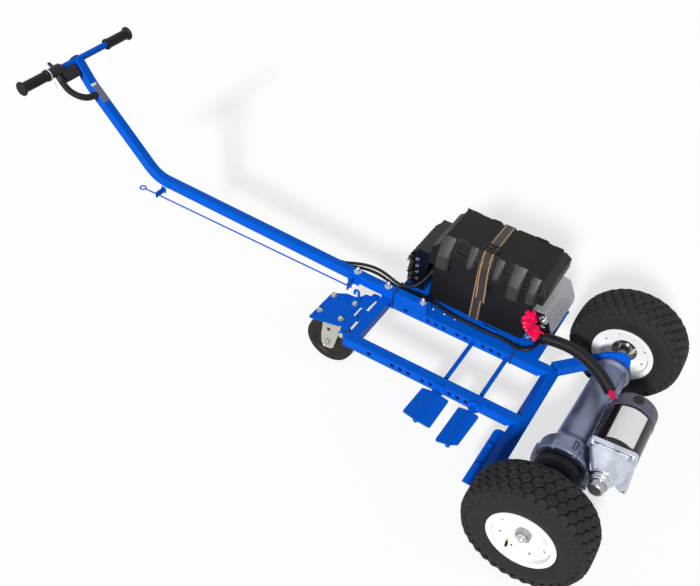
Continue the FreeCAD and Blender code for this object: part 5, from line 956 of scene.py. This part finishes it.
class BuildWheels(bpy.types.Operator):
    """Build the treaded tyres and finish the rims, with their bolts, hub nuts and valves."""
    bl_idname = "tug.build_wheels"
    bl_label = "Drive wheels"

    def execute(self, context):
        for label, side in (("near", -1), ("far", 1)):
            build_tyre(label + "_treaded_tyre", label + "_tyre", label + "_wheel")
            dressed(label + "_rim")
            wheel_nuts(label + "_wheel_hub", label + "_rim", label + "_wheel", side)
        return {"FINISHED"}


class BuildBattery(bpy.types.Operator):
    """Finish the battery box and lid and build the striped strap with its buckle."""
    bl_idname = "tug.build_battery"
    bl_label = "Battery box and strap"

    def execute(self, context):
        dressed("battery_box", "battery_lid", "battery")
        posts = [lid_post(side, *post) for side in (-1, 1) for post in LID_POSTS]
        # The posts take the lighter moulding, whose colour paints their sheen.
        shaped("lid_posts", joined(*posts), "black_plastic", "scuffed_moulding", angle=28)
        self.strap()
        self.buckle()
        return {"FINISHED"}

    def strap(self):
        """The band round the box and lid, and the tail that hangs from the buckle and leans forwards."""
        side = [(0.1085, 0.0003), (0.1179, 0.192, 0.06), (0.1179, 0.255, 0.008), (0.0925, 0.2994, 0.006)]
        whole = rounded_path(side + [(-p[0], p[1], *p[2:]) for p in side[::-1]])
        path = [Vector((STRAP_ALONG, BOX_ACROSS + spot.x, spot.y)) for spot in whole]
        shaped("strap_band", band(path, -0.0022), "webbing", replaces=["battery_strap"], angle=60)
        tail = rounded_path([(-0.0955, 0.296), (-0.1222, 0.254, 0.016), (-0.1235, 0.170, 0.05), (-0.1305, 0.125)])
        path = [Vector((STRAP_ALONG + 0.004 + 0.011 * (k / len(tail)) ** 2, BOX_ACROSS + spot.x, spot.y))
                for k, spot in enumerate(tail)]
        shaped("strap_tail", band(path, 0.0020, 0.016), "webbing", angle=60)

    def buckle(self):
        bars = [block(0.054, width, height, 0.0014, (0, offset, 0))
                for offset, width, height in ((-0.0175, 0.005, 0.007), (-0.001, 0.004, 0.006), (0.0175, 0.005, 0.007))]
        bars += [block(0.006, 0.040, 0.007, 0.0014, (end * 0.024, 0, 0)) for end in (-1, 1)]
        place = Matrix.Translation(centre_of("strap_buckle")) @ RAIL_TURN.to_4x4()
        shaped("ladder_buckle", moved(joined(*bars), place), "black_plastic", replaces=["strap_buckle"])


class DressElectrics(bpy.types.Operator):
    """Finish the controller, finned power unit, terminal plate, boots, glands and ties."""
    bl_idname = "tug.dress_electrics"
    bl_label = "Electrics"

    def execute(self, context):
        dressed("motor_controller", "finned_box", "terminal_plate", "cable_glands", "cable_ties", "terminal_boots")
        self.boots()
        self.terminals()
        self.controller_leads()
        return {"FINISHED"}

    def boots(self):
        # Each point's third value is how far the rim is split into petals there.
        cup = [(0.0125, 0), (0.0150, 0.004, 0.04), (0.0165, 0.013, 0.08), (0.0205, 0.022, 0.15),
               (0.0262, 0.029, 0.24), (0.0260, 0.032, 0.26), (0.0225, 0.033, 0.24), (0.0165, 0.027, 0.14),
               (0.0120, 0.019, 0.05), (0, 0.017)]
        parts = [moved(lathe(cup, 48, petals=petals), facing(on_rails(along, TERMINALS_ACROSS + 0.001, above), way))
                 for along, above, way, petals in (
                     (0.1905, 0.112, (-0.25, -0.8, 0.45), 5), (0.2095, 0.064, (0.2, -0.85, 0.2), 4),
                     (0.192, 0.090, (-0.45, -0.8, -0.1), 6))]
        shaped("splayed_boots", joined(*parts), "boot_rubber", angle=50)

    def terminals(self):
        """The stud, the ring lugs and the lead ends on the terminal plate."""
        seats = [(on_rails(0.226, TERMINALS_ACROSS + 0.0015, 0.118), (0.1, -1, 0.15))]
        seated("terminal_stud", dome_nut(0.0125, 0.017), seats, "zinc", "bright_zinc")
        eye = [(0.0032, 0), (0.0062, 0), (0.0062, 0.0012), (0.0032, 0.0012), (0.0032, 0)]
        lug = joined(lathe(eye, 20, solid=False), block(0.009, 0.005, 0.0012, 0.0004, (0.009, 0, 0.0006)))
        seats = [(on_rails(along, TERMINALS_ACROSS, above), (0.2, -1, lean))
                 for along, above, lean in ((0.186, 0.040, 0.3), (0.199, 0.030, 0.5), (0.212, 0.038, -0.2),
                                            (0.187, 0.018, 0.2), (0.224, 0.086, 0.4))]
        seated("ring_lugs", lug, seats, "zinc", "bright_zinc")
        for label, spots in (("white_lead", ((0.184, 0.036, 0.9), (0.200, 0.022, 0.2), (0.214, 0.030, 0.6))),
                             ("blue_lead", ((0.190, 0.024, 0.5), (0.207, 0.044, 0.9))),
                             ("yellow_lead", ((0.180, 0.052, 0.7),))):
            lead = lathe([(0.0021, 0), (0.0021, 0.024), (0.0012, 0.026)], 12)
            seats = [(on_rails(along, TERMINALS_ACROSS - 0.0015, above), (-0.3, -0.7, lift))
                     for along, above, lift in spots]
            seated(label + "_ends", lead, seats, "cable_black", label)

    def controller_leads(self):
        """The controller's row of plugs and its screw terminals."""
        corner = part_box("motor_controller")[0]
        plug = joined(block(0.016, 0.011, 0.018, 0.002, (0, 0, 0.009)), lathe([(0.0032, 0.018), (0.0032, 0.029)], 12))
        seats = [(corner + Vector((0.022 + 0.006 * (number % 2), 0.004, 0.045 + 0.026 * number)), (-0.35, -1, -0.5))
                 for number in range(5)]
        seated("controller_plugs", plug, seats, "black_plastic")
        seats = [(corner + Vector((0.044, 0.001, 0.05 + 0.03 * number)), (0, -1, 0.1)) for number in range(4)]
        seated("controller_terminals", hex_head(0.0055, 0.009), seats, "zinc", "bright_zinc")


class BuildCords(bpy.types.Operator):
    """Lay the control and trunk cables, the motor conduit and the throttle loom."""
    bl_idname = "tug.build_cords"
    bl_label = "Cables"

    def execute(self, context):
        for node, route, length, stiffness in (("control_cable", CONTROL_ROUTE, 0.386, "stiff"),
                                               ("trunk_cable", TRUNK_ROUTE, 0.858, "medium")):
            line = smooth_line(node + "_jacket", route, JACKET_RADIUS)
            lay_cord(node + "_jacket", node, line, route, JACKET_RADIUS, length, stiffness)
        for node, route, radius, pitch, length, stiffness in (
                ("motor_conduit", MOTOR_ROUTE, CONDUIT_RADIUS, sizes().hose_pitch, 0.327, "stiff"),
                ("throttle_loom", LOOM_ROUTE, LOOM_RADIUS, LOOM_PITCH, 0.167, "limp")):
            ringed_hose(node + "_rings", node, route, radius, pitch, length, stiffness)
        return {"FINISHED"}


class BuildFasteners(bpy.types.Operator):
    """Put the domed nuts on the handle's bolts and the screws in the battery tray."""
    bl_idname = "tug.build_fasteners"
    bl_label = "Nuts and screws"

    def execute(self, context):
        way, out = handle_ways(LOWER_RISE)
        rear_bolt = 0.073            # along the handle from its foot
        seats = [(on_rails(*(HANDLE_FOOT + way * rear_bolt + out * TUBE_HALF)), rails_way(*out))]
        for along in (-0.340, -0.194):
            seats.append((on_rails(along, HANDLE_FOOT.y, 2 * TUBE_HALF), RAILS_UP))
        seated("handle_dome_nuts", dome_nut(0.0104, 0.021), seats, "zinc", "bright_zinc",
               replaces=["handle_bolts"])
        seats = [(on_rails(along, across, 0), RAILS_UP)
                 for along, across in ((-0.161, 0.1985), (-0.115, 0.2005), (-0.072, 0.1985))]
        seated("tray_screws", button_screw(0.0055, 0.0035), seats, "zinc", "bright_zinc")
        return {"FINISHED"}


class BuildPlates(bpy.types.Operator):
    """Lay the blank plates on the motor and the handle."""
    bl_idname = "tug.build_plates"
    bl_label = "Blank plates"

    def execute(self, context):
        self.motor_plate(sizes().label_lift)
        self.handle_plates(sizes().label_lift)
        return {"FINISHED"}

    def motor_plate(self, lift):
        """A sheet bent round the motor's can."""
        bm = bmesh.new()
        rows = []
        start, sweep, steps = -25, 68, 18        # degrees from the can's top, and how many facets
        for k in range(steps + 1):
            turn = math.radians(start + sweep * k / steps)
            out = Vector((math.sin(turn), 0, math.cos(turn)))
            rows.append([bm.verts.new(MOTOR_AXIS + out * (MOTOR_RADIUS + level) + Vector((0, across, 0)))
                         for across, level in ((-0.115, -0.0005), (-0.115, lift), (0.032, lift), (0.032, -0.0005))])
        skin(bm, rows)
        for row in (rows[0], rows[-1]):
            bm.faces.new(row)
        shaped("motor_blank_plate", bm, "white_metal", "blank_white")

    def handle_plates(self, lift):
        way, out = handle_ways(UPPER_RISE)
        knee = HANDLE_FOOT + handle_ways(LOWER_RISE)[0] * LOWER_RUN
        turn = RAIL_TURN.to_4x4() @ Matrix((way, Vector((0, 1, 0)), out)).transposed().to_4x4()
        for label, above_knee, across, length, width, coat in (
                ("handle_grey_plate", 0.3925, 0.0, 0.075, 0.034, "blank_grey"),
                ("handle_white_plate", 0.4435, -0.0045, 0.024, 0.025, "blank_white")):
            spot = knee + way * above_knee + Vector((0, across, 0)) + out * (TUBE_HALF + lift / 2)
            plate = moved(block(length, width, lift * 1.6, lift * 0.4), Matrix.Translation(on_rails(*spot)) @ turn)
            shaped(label, plate, "white_metal", coat)


# ---- stage
CAMERA_SPOT = (1.4074, -2.0314, 2.4123)
CAMERA_AHEAD, CAMERA_RIGHT = Vector((-0.4013, 0.6458, -0.6495)), Vector((0.8494, 0.5278, 0))     # before the roll
CAMERA_ROLL = -0.236             # degrees
LENS, SENSOR = 45.47, 36         # millimetres
KEY_WAY = Vector((-0.2, 0.83, -0.52))            # where the key lamp shines


def seen_directly(tree):
    """1 for rays from the camera and off or through bright surfaces, and 0 for what only lights things."""
    ray = add(tree, "ShaderNodeLightPath").outputs
    return maths(tree, "MAXIMUM", ray["Is Camera Ray"],
                 maths(tree, "MAXIMUM", ray["Is Glossy Ray"], ray["Is Transmission Ray"]))


class SetStage(bpy.types.Operator):
    """Lay the pale floor and set the camera, the lamp and the world."""
    bl_idname = "tug.set_stage"
    bl_label = "Stage, camera and light"

    def execute(self, context):
        self.camera()
        self.floor()
        self.lamp()
        self.world()
        bpy.context.scene.view_settings.view_transform = "Standard"
        return {"FINISHED"}

    def camera(self):
        data = bpy.data.cameras.new("camera")
        data.sensor_width, data.lens, data.clip_end = SENSOR, LENS, 50
        item = placed("camera", data)
        ahead, right = CAMERA_AHEAD.normalized(), CAMERA_RIGHT.normalized()
        basis = Matrix((right, right.cross(ahead), -ahead)).transposed().to_4x4()
        item.matrix_world = shifted(*CAMERA_SPOT) @ basis @ turned(CAMERA_ROLL, "Z")
        bpy.context.scene.camera = item

    def floor(self):
        bpy.ops.mesh.primitive_plane_add(size=30, location=(0, 0, -0.0005))
        ground = bpy.context.object
        ground.name = "studio_floor"
        made, tree, surface = new_material("pale_floor")
        glow = maths(tree, "MULTIPLY", seen_directly(tree), 0.7)
        feed(tree, surface, {"Base Color": (0.35, 0.35, 0.35, 1), "Roughness": 0.9, "Specular IOR Level": 0.1,
                             "Emission Color": (1, 1, 1, 1), "Emission Strength": glow})
        ground.data.materials.append(made)

    def lamp(self):
        sun = bpy.data.lights.new("key", "SUN")
        sun.energy, sun.angle = 3.6, math.radians(7)
        placed("key", sun).rotation_euler = KEY_WAY.to_track_quat("-Z", "Y").to_euler()

    def world(self):
        """White where it is seen, and dimmer as a light."""
        world = bpy.data.worlds.new("studio")
        bpy.context.scene.world = world
        world.use_nodes = True
        tree = world.node_tree
        level = ramp(tree, seen_directly(tree), 0.0, 1.0, 0.2, 1.0)
        feed(tree, tree.nodes["Background"], {"Color": (1, 1, 1, 1), "Strength": level})


# ---- panel and registration
class TUG_PT_dressing(bpy.types.Panel):
    """Lists the tug's operators and settings."""
    bl_label = "Aircraft tug"
    bl_space_type = "VIEW_3D"
    bl_region_type = "UI"
    bl_category = "Tug"

    def draw(self, context):
        for operator in OPERATORS:
            self.layout.operator(operator.bl_idname)
        for settings in (context.scene.tug_sizes, context.scene.tug_colours):
            for name in settings.__annotations__:
                self.layout.prop(settings, name)


OPERATORS = (DressFrame, DressHandle, DressCaster, DressFingers, DressDrive, BuildWheels, BuildBattery,
             DressElectrics, BuildCords, BuildFasteners, BuildPlates, SetStage)
CLASSES = (TugSizes, TugColours, *OPERATORS, TUG_PT_dressing)


def register():
    for item in CLASSES:
        bpy.utils.register_class(item)
    bpy.types.Scene.tug_sizes = PointerProperty(type=TugSizes)
    bpy.types.Scene.tug_colours = PointerProperty(type=TugColours)


def unregister():
    del bpy.types.Scene.tug_sizes
    del bpy.types.Scene.tug_colours
    for item in reversed(CLASSES):
        bpy.utils.unregister_class(item)


def main():
    register()
    for operator in OPERATORS:
        family, name = operator.bl_idname.split(".")
        getattr(getattr(bpy.ops, family), name)()
    bpy.context.view_layer.update()


if __name__ == "__main__":
    main()
